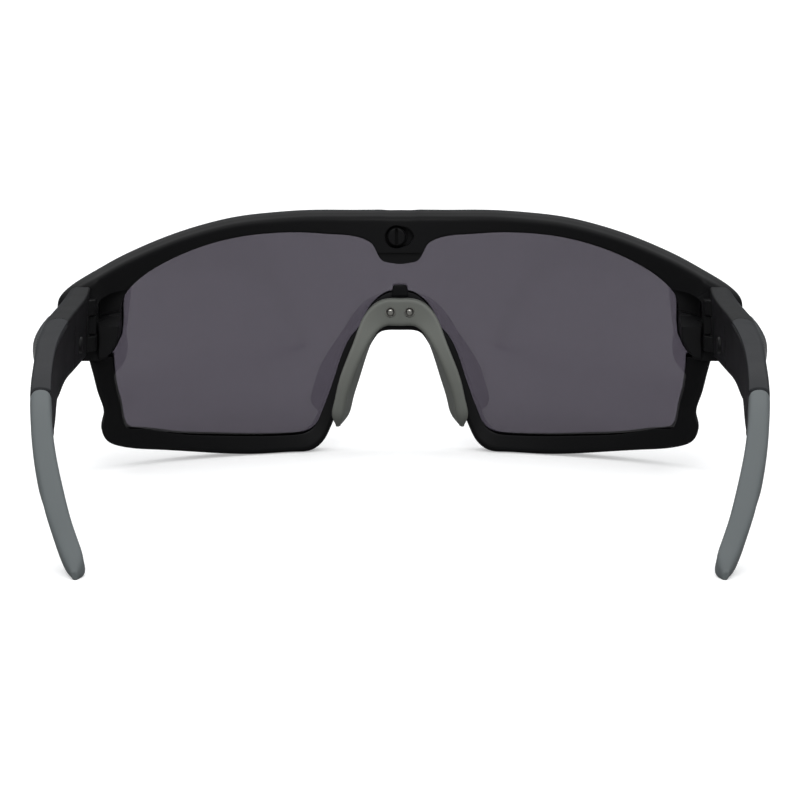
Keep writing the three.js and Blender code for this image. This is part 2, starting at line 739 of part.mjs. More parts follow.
function noseSaddle() {
  const headRoomY = NOSE_PIN.headRearY - NOSE_PIN.headDepth - SEAT;
  return saddleBar(SADDLE_STATIONS, SADDLE_STEPS, SADDLE_CUT, (s) => [s.thick, s.deep])
    .subtract(noseBand(SEAT))
    .subtract(noseHoles(NOSE_PIN.radius + SEAT, 0))
    .subtract(noseHoles(NOSE_PIN.headRadius + SEAT, headRoomY));
}

function nosePin() {
  const { x, z, headRearY, headDepth } = NOSE_PIN;
  const shank = lengthwise(x, z, NOSE_PIN.radius, NOSE_PIN.frontY, headRearY - OVERLAP, SIDES.small);
  return shank.add(lengthwise(x, z, NOSE_PIN.headRadius, headRearY - headDepth, headRearY));
}

// Everything that comes in a left and a right is made once, and the right is its mirror image.
const SIDE_PIECES = [
  ["temple_arm", templeArm(), MATERIALS.frameBlack],
  ["temple_grip", lath(GRIP.from, GRIP.to, gripStrip(0, 0), GRIP_SECTION), MATERIALS.gripGrey],
  ["side_trim", lath(TRIM.from, TRIM.to, trimStrip(0, TRIM.proud), PLAIN), MATERIALS.trimBlack],
  ["temple_tip", templeTip(), MATERIALS.tipGrey],
  ["tip_core", lath(CORE.from, CORE.to, coreBar(0), PLAIN), MATERIALS.steel],
  ["hinge_screw", hingeScrew(), MATERIALS.steel],
  ["nose_pin", nosePin(), MATERIALS.steel],
];

const glasses = new THREE.Group();
glasses.position.y = -DEPTH_CENTRE;
for (const [hand, mirror] of [
  ["left", 1],
  ["right", -1],
]) {
  const side = new THREE.Group();
  side.scale.x = mirror;
  for (const [name, made, material] of SIDE_PIECES) {
    side.add(meshOf(`${name}_${hand}`, made, material));
  }
  glasses.add(side);
}
glasses.add(
  meshOf("brow_frame", browFrame(), MATERIALS.frameBlack),
  meshOf("lens", lens(), MATERIALS.lensSmoke),
  meshOf("lower_frame", lowerFrame(), MATERIALS.frameBlack),
  meshOf("lock_knob", lockKnob(), MATERIALS.frameBlack),
  meshOf("lock_cam", lockCam(), MATERIALS.frameBlack),
  meshOf("lock_ring", lockRing(), MATERIALS.ringBlack),
  meshOf("nose_saddle", noseSaddle(), MATERIALS.noseGrey),
  meshOf("nose_core", noseCore(), MATERIALS.steel),
);

const sunglasses = new THREE.Group();
sunglasses.add(glasses);
export default sunglasses;
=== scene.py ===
"""Wraparound sport sunglasses: finished surfaces, materials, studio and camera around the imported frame.

Sizes are in millimetres, y is measured back from the lens's front face on the centreline, and z up from the
table, until a piece's mesh is written in metres in the row frame. The wearer's left is +X.
"""

import logging
import math
from dataclasses import dataclass
from enum import Enum
from typing import Callable, Sequence

import bpy
import numpy as np
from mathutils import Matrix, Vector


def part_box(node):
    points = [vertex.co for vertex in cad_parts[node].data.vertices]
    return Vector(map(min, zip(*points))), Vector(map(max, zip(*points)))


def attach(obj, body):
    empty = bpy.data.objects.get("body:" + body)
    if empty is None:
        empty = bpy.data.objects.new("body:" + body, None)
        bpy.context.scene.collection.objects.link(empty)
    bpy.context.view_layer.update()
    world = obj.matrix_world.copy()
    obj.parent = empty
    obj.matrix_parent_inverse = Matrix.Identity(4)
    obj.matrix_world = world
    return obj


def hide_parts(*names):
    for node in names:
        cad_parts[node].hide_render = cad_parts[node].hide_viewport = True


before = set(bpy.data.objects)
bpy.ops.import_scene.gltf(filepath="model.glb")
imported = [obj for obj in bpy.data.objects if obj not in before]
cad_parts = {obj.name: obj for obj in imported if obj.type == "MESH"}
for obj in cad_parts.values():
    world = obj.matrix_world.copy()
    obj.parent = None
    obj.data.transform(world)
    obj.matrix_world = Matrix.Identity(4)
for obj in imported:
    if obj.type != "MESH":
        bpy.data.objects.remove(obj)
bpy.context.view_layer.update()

LOG = logging.getLogger("sunglasses")
Array = np.ndarray
Stations = tuple[tuple[float, ...], ...]

METRES = 0.001
APEX_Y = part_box("lens")[0].y / METRES  # the lens's front apex in the row frame
LENS_RADIUS = 80.0  # plan radius of the lens's front face
LENS_REAR_RADIUS = 78.0
SEAM = 0.12  # the fine gap that shows between two fitted pieces
HINGE = (62.2, 38.0)  # x and y of the left hinge's axis
LOCK_CENTRE = (0.7, 44.4)  # x and z of the lens lock's axis
PIN_CENTRE = (1.95, 29.2)  # x and z of the left nose pin
CREASE = 38.0  # degrees between two faces from which their edge is drawn sharp
HALFWAY = 0.46  # a fillet takes no more than this share of an edge
RUNS = (0.1, 0.5, 0.9)  # shares along an outline's straight edges that get a point
CAP_SHARES = (0.9, 0.5, 0.15)  # where rings stand between the middle of a round end and its edge
PLATE_SHARES = (0.1, 0.45, 0.85)  # where rings stand between the middle of a plate and its edge
NOISE_SPAN = (0.3, 0.7)  # where nearly all of a noise pattern's values lie
TINY = 1e-9  # keeps a division by a length from failing
NEAR_MIDDLE = 0.95  # a point is pulled in by no more than this share of the way
HALF_TURN = 25  # points around a half circle
WEB = 8  # points along a straight web


class Side(Enum):
    """The wearer's two sides, each with the sign of its x."""

    LEFT = 1
    RIGHT = -1

    @property
    def word(self) -> str:
        """The side's name, as node names end in it."""
        return self.name.lower()


# ---------------------------------------------------------------- curves and sections


def depth_at(radius: float, x: Array) -> Array:
    """The y of a plan circle about the lens's axis: axis depth less the root of radius² minus x².

    Args:
        radius: the circle's radius.
        x: distances from the centreline.

    Returns:
        The y of each point on the circle's front half.
    """
    return LENS_RADIUS - np.sqrt(np.maximum(radius**2 - x**2, 1.0))


def fair(knots: Array, values: Array, at: Array) -> Array:
    """Reads a natural cubic spline: cubics that share slope and curvature at each knot, straight at the ends.

    Args:
        knots: the rising parameter of each station.
        values: one row for each station.
        at: the parameters to read.

    Returns:
        One row for each parameter.
    """
    values = np.asarray(values, float)
    gap = np.diff(knots)
    count = len(knots)
    inner = np.arange(1, count - 1)
    system = np.eye(count)
    system[inner, inner - 1] = gap[:-1]
    system[inner, inner] = 2 * (gap[:-1] + gap[1:])
    system[inner, inner + 1] = gap[1:]
    pull = np.zeros_like(values)
    pull[1:-1] = 6 * np.diff(np.diff(values, axis=0) / gap[:, None], axis=0)
    bend = np.linalg.solve(system, pull)
    span = np.clip(np.searchsorted(knots, at) - 1, 0, count - 2)
    step = gap[span][:, None]
    past = (at - knots[span])[:, None]
    left = step - past
    cubic = (bend[span] * left**3 + bend[span + 1] * past**3) / (6 * step)
    line = (values[span] / step - bend[span] * step / 6) * left
    return cubic + line + (values[span + 1] / step - bend[span + 1] * step / 6) * past


def chord_knots(points: Array) -> Array:
    """The running length along a row of points."""
    return np.concatenate([[0.0], np.cumsum(np.linalg.norm(np.diff(points, axis=0), axis=1))])


def blend_of(low: Array, high: Array, share: Array) -> Array:
    """A straight blend from low to high."""
    return low + (high - low) * share


def step_up(start: float, end: float, x: Array) -> Array:
    """A smooth step: 0 before start, 1 after end, with level ends."""
    t = np.clip((x - start) / (end - start), 0, 1)
    return t * t * (3 - 2 * t)


def lesser(a: Array, b: float, softness: float) -> Array:
    """A rounded minimum: half of the sum less the root of the squared gap and squared softness."""
    return 0.5 * (a + b - np.sqrt((a - b) ** 2 + softness**2))


def both_sides(stations: Stations, signs: Sequence[int]) -> Array:
    """Stations from the centreline out, led by their mirror image, whose columns take the signs."""
    half = np.array(stations)
    return np.concatenate([half[:0:-1] * np.array(signs), half])


def outlines(*corners: tuple[Array, Array]) -> Array:
    """A row of outlines from their corners, each a pair of columns, in shape (outlines, corners, 2)."""
    return np.stack([np.stack(corner, axis=-1) for corner in corners], axis=-2)


def filleted(corners: Array, radii: Sequence[float], arc: int = 5, runs: Sequence[float] = RUNS) -> Array:
    """Rounds the corners of closed outlines.

    Each corner gives way to a quadratic curve that leaves its two edges a fillet's length from it, and each
    edge keeps a few points along its straight run.

    Args:
        corners: shape (..., corners, 2).
        radii: a fillet's length for each corner.
        arc: pieces in each curve.
        runs: shares along each straight run that get a point.

    Returns:
        The outlines, shape (..., points, 2).
    """
    radius = np.asarray(radii, float)[:, None]

    def along(edge: Array) -> Array:
        """The point a fillet's length along an edge, and never past its middle."""
        length = np.linalg.norm(edge, axis=-1, keepdims=True) + TINY
        return corners + edge * np.minimum(radius / length, HALFWAY)

    start = along(np.roll(corners, 1, axis=-2) - corners)
    end = along(np.roll(corners, -1, axis=-2) - corners)
    t = np.linspace(0, 1, arc + 1)[:, None]
    pull = 2 * t * (1 - t) * corners[..., None, :]
    bent = (1 - t) ** 2 * start[..., None, :] + pull + t**2 * end[..., None, :]
    share = np.asarray(runs, float)[:, None]
    straight = blend_of(end[..., None, :], np.roll(start, -1, axis=-2)[..., None, :], share)
    ring = np.concatenate([bent, straight], axis=-2)
    return ring.reshape(*corners.shape[:-2], -1, 2)


def pulled_in(ring: Array, distance: float) -> Array:
    """A ring whose points have each moved straight towards its middle.

    Args:
        ring: shape (points, axes).
        distance: how far they move.

    Returns:
        The smaller ring.
    """
    inward = ring.mean(axis=0) - ring
    length = np.linalg.norm(inward, axis=-1, keepdims=True) + TINY
    return ring + inward / length * np.minimum(distance, NEAR_MIDDLE * length)


def round_ends(rings: Array, radius: float, steps: int = 4) -> Array:
    """Closes a row of rings with rounded ends: a quarter circle outwards and inwards, then a flat middle.

    Args:
        rings: shape (rings, points, 3).
        radius: the end's edge radius.
        steps: rings in each quarter circle.

    Returns:
        The longer row of rings.
    """

    def end_rings(last: Array, before: Array) -> list[Array]:
        """The rings beyond an end ring.

        Args:
            last: the end ring.
            before: the ring before it.

        Returns:
            The rings, from the end ring outwards.
        """
        out = last.mean(axis=0) - before.mean(axis=0)
        out = out / (np.linalg.norm(out) + TINY)
        turns = np.linspace(0, math.pi / 2, steps + 1)[1:]
        edge = [pulled_in(last, radius * (1 - math.cos(a))) + out * radius * math.sin(a) for a in turns]
        middle = edge[-1].mean(axis=0)
        return edge + [blend_of(middle, edge[-1], share) for share in CAP_SHARES]

    head = end_rings(rings[0], rings[1])[::-1]
    tail = end_rings(rings[-1], rings[-2])
    return np.concatenate([np.array(head), rings, np.array(tail)])


def button(outline: Array, low: float, high: float, fillet: float, steps: int = 4) -> Array:
    """Rings of a plate with rounded edges: the outline goes up from low to high, curling in at both edges.

    Args:
        outline: the plate's outline, shape (points, 2).
        low: height of its lower face.
        high: height of its upper face.
        fillet: radius of both edges.
        steps: rings in each edge.

    Returns:
        Rings of (outline u, outline v, height), shape (rings, points, 3).
    """
    turns = np.linspace(0, math.pi / 2, steps + 1)
    rising = [(fillet * (1 - math.sin(a)), low + fillet * (1 - math.cos(a))) for a in turns]
    falling = [(fillet * (1 - math.cos(a)), high - fillet * (1 - math.sin(a))) for a in turns]
    rings = [
        np.column_stack([pulled_in(outline, inset), np.full(len(outline), height)])
        for inset, height in rising + falling
    ]
    head = [blend_of(rings[0].mean(axis=0), rings[0], share) for share in PLATE_SHARES]
    tail = [blend_of(rings[-1].mean(axis=0), rings[-1], share) for share in reversed(PLATE_SHARES)]
    return np.array(head + rings + tail)


# ---------------------------------------------------------------- meshes


@dataclass
class Shell:
    """A closed skin: points in millimetres, with four-cornered and three-cornered faces."""

    points: Array
    quads: Array
    triangles: Array

    @classmethod
    def over(cls, rings: Array) -> "Shell":
        """Skins a row of closed rings, with a point in the middle of each end.

        Args:
            rings: shape (rings, points, 3).

        Returns:
            The closed shell, facing outwards.
        """
        count, around, _ = rings.shape
        here = np.arange(around)
        after = np.roll(here, -1)
        base = np.arange(count - 1)[:, None] * around
        quads = np.stack([base + here, base + after, base + around + after, base + around + here], axis=-1)
        poles = rings[[0, -1]].mean(axis=1)
        first, last, final = count * around, count * around + 1, (count - 1) * around
        head = np.stack([after, here, np.full(around, first)], axis=-1)
        tail = np.stack([here + final, after + final, np.full(around, last)], axis=-1)
        points = np.concatenate([rings.reshape(-1, 3), poles])
        return cls(points, quads.reshape(-1, 4), np.concatenate([head, tail])).outward()

    def outward(self) -> "Shell":
        """The same shell with its faces turned outwards, by the sign of its volume.

        Returns:
            The shell, or its copy turned inside out.
        """
        q, t, p = self.quads, self.triangles, self.points
        three = np.concatenate([q[:, [0, 1, 2]], q[:, [0, 2, 3]], t])
        a, b, c = p[three[:, 0]], p[three[:, 1]], p[three[:, 2]]
        if np.einsum("ij,ij->", a, np.cross(b, c)) < 0:
            return Shell(p, q[:, ::-1], t[:, ::-1])
        return self

    def moved(self, place: Callable[[Array], Array]) -> "Shell":
        """The shell with its points put through a function, and its faces outwards again."""
        return Shell(place(self.points), self.quads, self.triangles).outward()

    def on_side(self, side: Side) -> "Shell":
        """The shell as it is on the left, or its mirror image on the right."""
        return self.moved(lambda p: p * np.array([side.value, 1, 1]))

    def cut_by(self, tools: Sequence["Shell"]) -> "Shell":
        """The shell with pockets cut into it, with crisp edges.

        Args:
            tools: the pockets' closed shapes.

        Returns:
            The cut shell, in triangles.
        """
        body = bpy.data.objects.new("uncut", mesh_of("uncut", [self]))
        cutters = [bpy.data.objects.new("tool", mesh_of("tool", [tool])) for tool in tools]
        for item in (body, *cutters):
            bpy.context.scene.collection.objects.link(item)
        for cutter in cutters:
            cut = body.modifiers.new("pocket", "BOOLEAN")
            cut.operation = "DIFFERENCE"
            cut.solver = "EXACT"
            cut.object = cutter
        mesh = body.evaluated_get(bpy.context.evaluated_depsgraph_get()).data
        points = np.empty(len(mesh.vertices) * 3)
        mesh.vertices.foreach_get("co", points)
        mesh.calc_loop_triangles()
        triangles = np.empty(len(mesh.loop_triangles) * 3, np.int32)
        mesh.loop_triangles.foreach_get("vertices", triangles)
        for item in (body, *cutters):
            bpy.data.meshes.remove(item.data)
        points = points.reshape(-1, 3) / METRES - np.array([0, APEX_Y, 0])
        return Shell(points, np.empty((0, 4), int), triangles.reshape(-1, 3)).outward()


def along_y(points: Array) -> Array:
    """Turns (x, z, depth) into (x, y, z)."""
    return points[..., [0, 2, 1]]


@dataclass(frozen=True, kw_only=True)
class Plate:
    """A flat shape with rounded edges: an outline about a centre, carried from a low to a high face."""

    centre: tuple[float, float] = (0.0, 0.0)
    low: float
    high: float
    edge: float = 0.05  # radius of both edges
    steps: int = 4  # rings in each edge

    def outline(self) -> Array:
        """The plate's outline, shape (points, 2)."""
        raise NotImplementedError

    def rings(self) -> Array:
        """The plate's rings, from its low to its high face."""
        return button(self.outline(), self.low, self.high, self.edge, self.steps)

    def lying(self) -> Shell:
        """The plate with its outline in (x, y) and its thickness in z."""
        return Shell.over(self.rings())

    def standing(self) -> Shell:
        """The plate with its outline in (x, z) and its thickness in y."""
        return Shell.over(along_y(self.rings()))


@dataclass(frozen=True, kw_only=True)
class Block(Plate):
    """A plate with straight sides."""

    corners: Stations
    fillets: tuple[float, ...]  # one for each corner

    def outline(self) -> Array:
        """The corners about the centre, each rounded by its fillet."""
        return filleted(np.array(self.centre) + np.array(self.corners), self.fillets)


@dataclass(frozen=True, kw_only=True)
class Oval(Plate):
    """A round or oval plate."""

    radii: tuple[float, float]
    count: int = 64  # points around it

    def outline(self) -> Array:
        """An ellipse at equal turns: the centre plus the radii times each turn's cosine and sine."""
        turn = np.linspace(0, 2 * math.pi, self.count, endpoint=False)
        return np.array(self.centre) + np.array(self.radii) * np.stack([np.cos(turn), np.sin(turn)], axis=-1)


def mesh_of(name: str, shells: Sequence[Shell]) -> bpy.types.Mesh:
    """Writes shells into one mesh, in metres in the row frame, with smooth faces and sharp creases.

    Args:
        name: the mesh's name.
        shells: the closed skins it holds.

    Returns:
        The mesh.
    """
    starts = np.cumsum([0] + [len(s.points) for s in shells])
    points = np.concatenate([s.points for s in shells])
    points = (points + np.array([0, APEX_Y, 0])) * METRES
    quads = np.concatenate([s.quads + start for s, start in zip(shells, starts)])
    triangles = np.concatenate([s.triangles + start for s, start in zip(shells, starts)])
    corners = np.concatenate([quads.ravel(), triangles.ravel()])
    sizes = np.concatenate([np.full(len(quads), 4), np.full(len(triangles), 3)])
    mesh = bpy.data.meshes.new(name)
    mesh.vertices.add(len(points))
    mesh.vertices.foreach_set("co", points.astype(np.float32).ravel())
    mesh.loops.add(len(corners))
    mesh.loops.foreach_set("vertex_index", corners.astype(np.int32))
    mesh.polygons.add(len(sizes))
    mesh.polygons.foreach_set("loop_start", np.concatenate([[0], np.cumsum(sizes)[:-1]]).astype(np.int32))
    mesh.polygons.foreach_set("use_smooth", np.ones(len(sizes), bool))
    mesh.update(calc_edges=True)
    mesh.validate()
    mesh.set_sharp_from_angle(angle=math.radians(CREASE))
    return mesh


def add_piece(
    name: str,
    shells: Sequence[Shell],
    finish: "Finish",
    body: str,
    replaces: Sequence[str] = (),
    mirrored: bool = True,
) -> bpy.types.Object:
    """Makes a piece, dresses it and joins it to its CAD body.

    Args:
        name: the piece's name.
        shells: its closed skins.
        finish: what it is made of.
        body: the CAD body that it rides on.
        replaces: the CAD nodes that it stands for.
        mirrored: whether the lens's inner face shows its reflection.

    Returns:
        The piece.
    """
    mesh = mesh_of(name, shells)
    mesh.materials.append(finish.material())
    piece = bpy.data.objects.new(name, mesh)
    piece.visible_glossy = mirrored
    bpy.context.scene.collection.objects.link(piece)
    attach(piece, body)
    if replaces:
        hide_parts(*replaces)
    LOG.info("%s: %d faces, %s", name, len(mesh.polygons), finish.name)
    return piece


def dress_node(node: str, finish: "Finish", mirrored: bool = True) -> None:
    """Gives a CAD node that stays in view its finish.

    Args:
        node: the node's name.
        finish: what it is made of.
        mirrored: whether the lens's inner face shows its reflection.
    """
    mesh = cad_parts[node].data
    mesh.materials.clear()
    mesh.materials.append(finish.material())
    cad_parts[node].visible_glossy = mirrored
    LOG.info("%s: kept from the frame, %s", node, finish.name)


# ---------------------------------------------------------------- finishes


def linear(colour: str) -> tuple[float, float, float, float]:
    """An sRGB colour as linear light, by the sRGB curve: a straight foot and a power of 2.4 above it.

    Args:
        colour: a hex value such as #808080.

    Returns:
        Linear red, green and blue, with an alpha of 1.
    """
    srgb = np.array([int(colour[i : i + 2], 16) for i in (1, 3, 5)]) / 255
    light = np.where(srgb <= 0.04045, srgb / 12.92, ((srgb + 0.055) / 1.055) ** 2.4)
    return (*light.tolist(), 1.0)


def add_node(
    tree: bpy.types.NodeTree,
    kind: str,
    settings: dict[str, object] | None = None,
    links: dict[str | int, bpy.types.NodeSocket] | None = None,
) -> bpy.types.Node:
    """Adds a node with its settings and its incoming links.

    Args:
        tree: the node tree.
        kind: the node's type name.
        settings: property or input names with their values.
        links: input names with the outputs that feed them.

    Returns:
        The node.
    """
    node = tree.nodes.new(kind)
    for key, value in (settings or {}).items():
        if key in node.bl_rna.properties:
            setattr(node, key, value)
        else:
            node.inputs[key].default_value = value
    for key, source in (links or {}).items():
        tree.links.new(source, node.inputs[key])
    return node


def scale_of(spacing: float) -> float:
    """The texture scale, per metre, of a pattern that repeats every so many millimetres."""
    return 1 / (spacing * METRES)


@dataclass(frozen=True)
class Finish:
    """A material of the real glasses and how its surface was made."""

    name: str
    slot: str
    colour: str
    roughness: float
    ior: float = 1.5
    specular: float = 0.5
    grain: float = 0.3  # millimetres between its grains, drawn coarser than real ones so that they show
    relief: float = 0.004  # height of the grains, millimetres
    mottle: float = 0.06  # share by which roughness and colour wander
    patch: float = 9.0  # millimetres across one patch of that wander

    def material(self) -> bpy.types.Material:
        """Makes the material the first time that it is asked for.

        Returns:
            The material.
        """
        found = bpy.data.materials.get(self.name)
        if found is not None:
            return found
        made = bpy.data.materials.new(self.name)
        made.use_nodes = True
        tree = made.node_tree
        tree.nodes.clear()
        shader = add_node(
            tree,
            "ShaderNodeBsdfPrincipled",
            {"IOR": self.ior, "Specular IOR Level": self.specular, "Roughness": self.roughness},
        )
        shader.inputs["Base Color"].default_value = linear(self.colour)
        add_node(tree, "ShaderNodeOutputMaterial", links={"Surface": shader.outputs["BSDF"]})
        self.dress(tree, shader)
        return made

    def dress(self, tree: bpy.types.NodeTree, shader: bpy.types.Node) -> None:
        """Adds the surface's grain as bump, and a slow wander in colour and roughness.

        Args:
            tree: the material's nodes.
            shader: its surface shader.
        """
        place = add_node(tree, "ShaderNodeTexCoord").outputs["Object"]
        grain = add_node(
            tree,
            "ShaderNodeTexNoise",
            {"Scale": scale_of(self.grain), "Detail": 2.0, "Roughness": 0.6},
            {"Vector": place},
        )
        bump = add_node(
            tree,
            "ShaderNodeBump",
            {"Strength": 1.0, "Distance": self.relief * METRES},
            {"Height": grain.outputs["Fac"]},
        )
        tree.links.new(bump.outputs["Normal"], shader.inputs["Normal"])
        slow = add_node(
            tree,
            "ShaderNodeTexNoise",
            {"Scale": scale_of(self.patch), "Detail": 3.0, "Roughness": 0.55},
            {"Vector": place},
        )
        rough = add_node(
            tree,
            "ShaderNodeMapRange",
            {
                "From Min": NOISE_SPAN[0],
                "From Max": NOISE_SPAN[1],
                "To Min": self.roughness * (1 - self.mottle),
                "To Max": self.roughness * (1 + self.mottle),
            },
            {"Value": slow.outputs["Fac"]},
        )
        tree.links.new(rough.outputs["Result"], shader.inputs["Roughness"])
        shade = np.array(linear(self.colour))
        tint = add_node(tree, "ShaderNodeMix", {"data_type": "RGBA"}, {"Factor": slow.outputs["Fac"]})
        tint.inputs["A"].default_value = tuple(shade * np.array([1 - self.mottle] * 3 + [1]))
        tint.inputs["B"].default_value = tuple(shade * np.array([1 + self.mottle] * 3 + [1]))
        tree.links.new(tint.outputs["Result"], shader.inputs["Base Color"])


@dataclass(frozen=True)
class PolishedLens(Finish):
    """Smoke-tinted polycarbonate, moulded in a polished tool: mirror smooth, and seen through."""

    haze: float = 14.0  # millimetres across one patch of haze
    haze_share: float = 0.4  # share by which the haze changes the roughness

    def dress(self, tree: bpy.types.NodeTree, shader: bpy.types.Node) -> None:
        """Lets light through, tinted by the base colour, with the faint haze of handling in its gloss.

        Args:
            tree: the material's nodes.
            shader: its surface shader.
        """
        shader.inputs["Transmission Weight"].default_value = 1.0
        place = add_node(tree, "ShaderNodeTexCoord").outputs["Object"]
        patches = {"Scale": scale_of(self.haze), "Detail": 3.0}
        haze = add_node(tree, "ShaderNodeTexNoise", patches, {"Vector": place})
        rough = add_node(
            tree,
            "ShaderNodeMapRange",
            {
                "To Min": self.roughness * (1 - self.haze_share),
                "To Max": self.roughness * (1 + self.haze_share),
            },
            {"Value": haze.outputs["Fac"]},
        )
        tree.links.new(rough.outputs["Result"], shader.inputs["Roughness"])


@dataclass(frozen=True)
class BrightSteel(Finish):
    """Stainless wire and turned pins, tumbled bright: a metal with faint turning marks."""

    stretch: float = 8.0  # how many times finer the marks are across than along
    mark_share: float = 0.3  # share by which the marks change the roughness

    def dress(self, tree: bpy.types.NodeTree, shader: bpy.types.Node) -> None:
        """Makes it a metal, with turning marks that run round as fine stretched grain.

        Args:
            tree: the material's nodes.
            shader: its surface shader.
        """
        shader.inputs["Metallic"].default_value = 1.0
        place = add_node(tree, "ShaderNodeTexCoord").outputs["Object"]
        long = add_node(tree, "ShaderNodeMapping", {}, {"Vector": place})
        long.inputs["Scale"].default_value = (1.0, self.stretch, 1.0)
        along = {"Vector": long.outputs["Vector"]}
        marks = add_node(tree, "ShaderNodeTexNoise", {"Scale": scale_of(self.grain)}, along)
        rough = add_node(
            tree,
            "ShaderNodeMapRange",
            {
                "To Min": self.roughness * (1 - self.mark_share),
                "To Max": self.roughness * (1 + self.mark_share),
            },
            {"Value": marks.outputs["Fac"]},
        )
        tree.links.new(rough.outputs["Result"], shader.inputs["Roughness"])


# Nylon coloured black through, from a spark-eroded tool: a fine satin that takes the light softly.
FRAME_NYLON = Finish("moulded_nylon_satin_black", "frame_black", "#0b0b0c", 0.5, specular=0.12)
# The grip strip is the same nylon in dark grey: it reads as a paler band along the black arm.
GRIP_NYLON = Finish("moulded_nylon_dark_grey", "grip_grey", "#1a1b1e", 0.5, specular=0.15)
# The trim is moulded black with a polished face, so that its ribs catch a thin highlight.
TRIM_NYLON = Finish("moulded_nylon_semi_gloss_black", "trim_black", "#0d0d0e", 0.34, specular=0.35)
# Thermoplastic rubber for the temple tips: dry, soft to the touch and nearly without gloss.
TIP_RUBBER = Finish(
    "moulded_rubber_soft_grey", "tip_grey", "#585d5e", 0.62, specular=0.3, grain=0.4, relief=0.003
)
# The same rubber for the nose, a shade warmer.
NOSE_RUBBER = Finish(
    "moulded_rubber_nose_grey", "nose_grey", "#636560", 0.6, specular=0.3, grain=0.4, relief=0.003
)
# The friction ring's rubber is black and dull.
SEAL_RUBBER = Finish("moulded_rubber_seal_black", "seal_black", "#121212", 0.7)
# Smoke polycarbonate: the floor shows through it darkened, under a sharp reflection of the nose saddle.
LENS_TINT = PolishedLens("polished_polycarbonate_smoke", "lens_smoke", "#454149", 0.03, 1.586)
# Tumbled steel: a grey metal whose pin heads carry a small soft highlight.
STEEL = BrightSteel("tumbled_stainless_steel", "steel", "#8c8b86", 0.3, grain=0.2)
# Matte paper for the floor: an even pale ground without gloss, on which the soft shadows show.
FLOOR_PAPER = Finish(
    "matte_paper_white", "", "#e0e0e0", 0.9, 1.45, 0.1, grain=0.5, relief=0.002, mottle=0.005
)


# ---------------------------------------------------------------- the front


@dataclass
class Rim:
    """A bar that holds the lens's edge: each station pairs a point beside the lens with one on the free side.

    Stations are (lens-side x, z, free-side x, z) and run from the centreline to the wearer's left.
    """

    stations: Stations
    rear_radius: float
    front_radius: float
    rear_plane: float = 200.0  # y of the flat that the rear face doesn't pass
    plane_blend: float = 0.6  # how softly the rear face turns into that flat

    @property
    def depth(self) -> float:
        """The bar's depth from its rear to its front face."""
        return self.front_radius - self.rear_radius

    def sides(self, spacing: float) -> tuple[Array, Array]:
        """The lens side and the free side, as smooth curves read at the same places.

        Args:
            spacing: distance between readings.

        Returns:
            Two rows of (x, z).
        """
        whole = both_sides(self.stations, (-1, 1, -1, 1))
        knots = chord_knots(0.5 * (whole[:, :2] + whole[:, 2:]))
        at = np.linspace(0, knots[-1], int(knots[-1] / spacing))
        read = fair(knots, whole, at)
        return read[:, :2], read[:, 2:]

    def rings(self, spacing: float, section: Callable[[Array], Array], radii: Sequence[float]) -> Array:
        """Carries a section along the rim.

        A section's points are (distance from the lens side, depth from the rear face). The distance runs
        straight from the lens side to the free side, and the depth runs from the rear to the front radius.

        Args:
            spacing: distance between sections.
            section: the corners, given the rim's width at each station, shape (stations, corners, 2).
            radii: a fillet for each corner.

        Returns:
            Rings, shape (stations, points, 3).
        """
        lens_side, free_side = self.sides(spacing)
        width = np.linalg.norm(free_side - lens_side, axis=1)
        ring = filleted(section(width), radii)
        share = (ring[..., 0] / width[:, None])[..., None]
        flat = blend_of(lens_side[:, None], free_side[:, None], share)
        x = flat[..., 0]
        rear = lesser(depth_at(self.rear_radius, x), self.rear_plane, self.plane_blend)
        y = blend_of(rear, depth_at(self.front_radius, x), ring[..., 1] / self.depth)
        return np.stack([x, y, flat[..., 1]], axis=-1)


def corners_of(width: Array, corners: Sequence[tuple[float, float, float]]) -> Array:
    """A section's corners at each station.

    Args:
        width: the rim's width at each station.
        corners: each corner's share of the width, the millimetres added to that, and its depth.

    Returns:
        Points of (distance, depth), shape (stations, corners, 2).
    """
    rows = np.array(corners)
    across = rows[:, 0] * width[:, None] + rows[:, 1]
    return np.stack([across, np.broadcast_to(rows[:, 2], across.shape)], axis=-1)


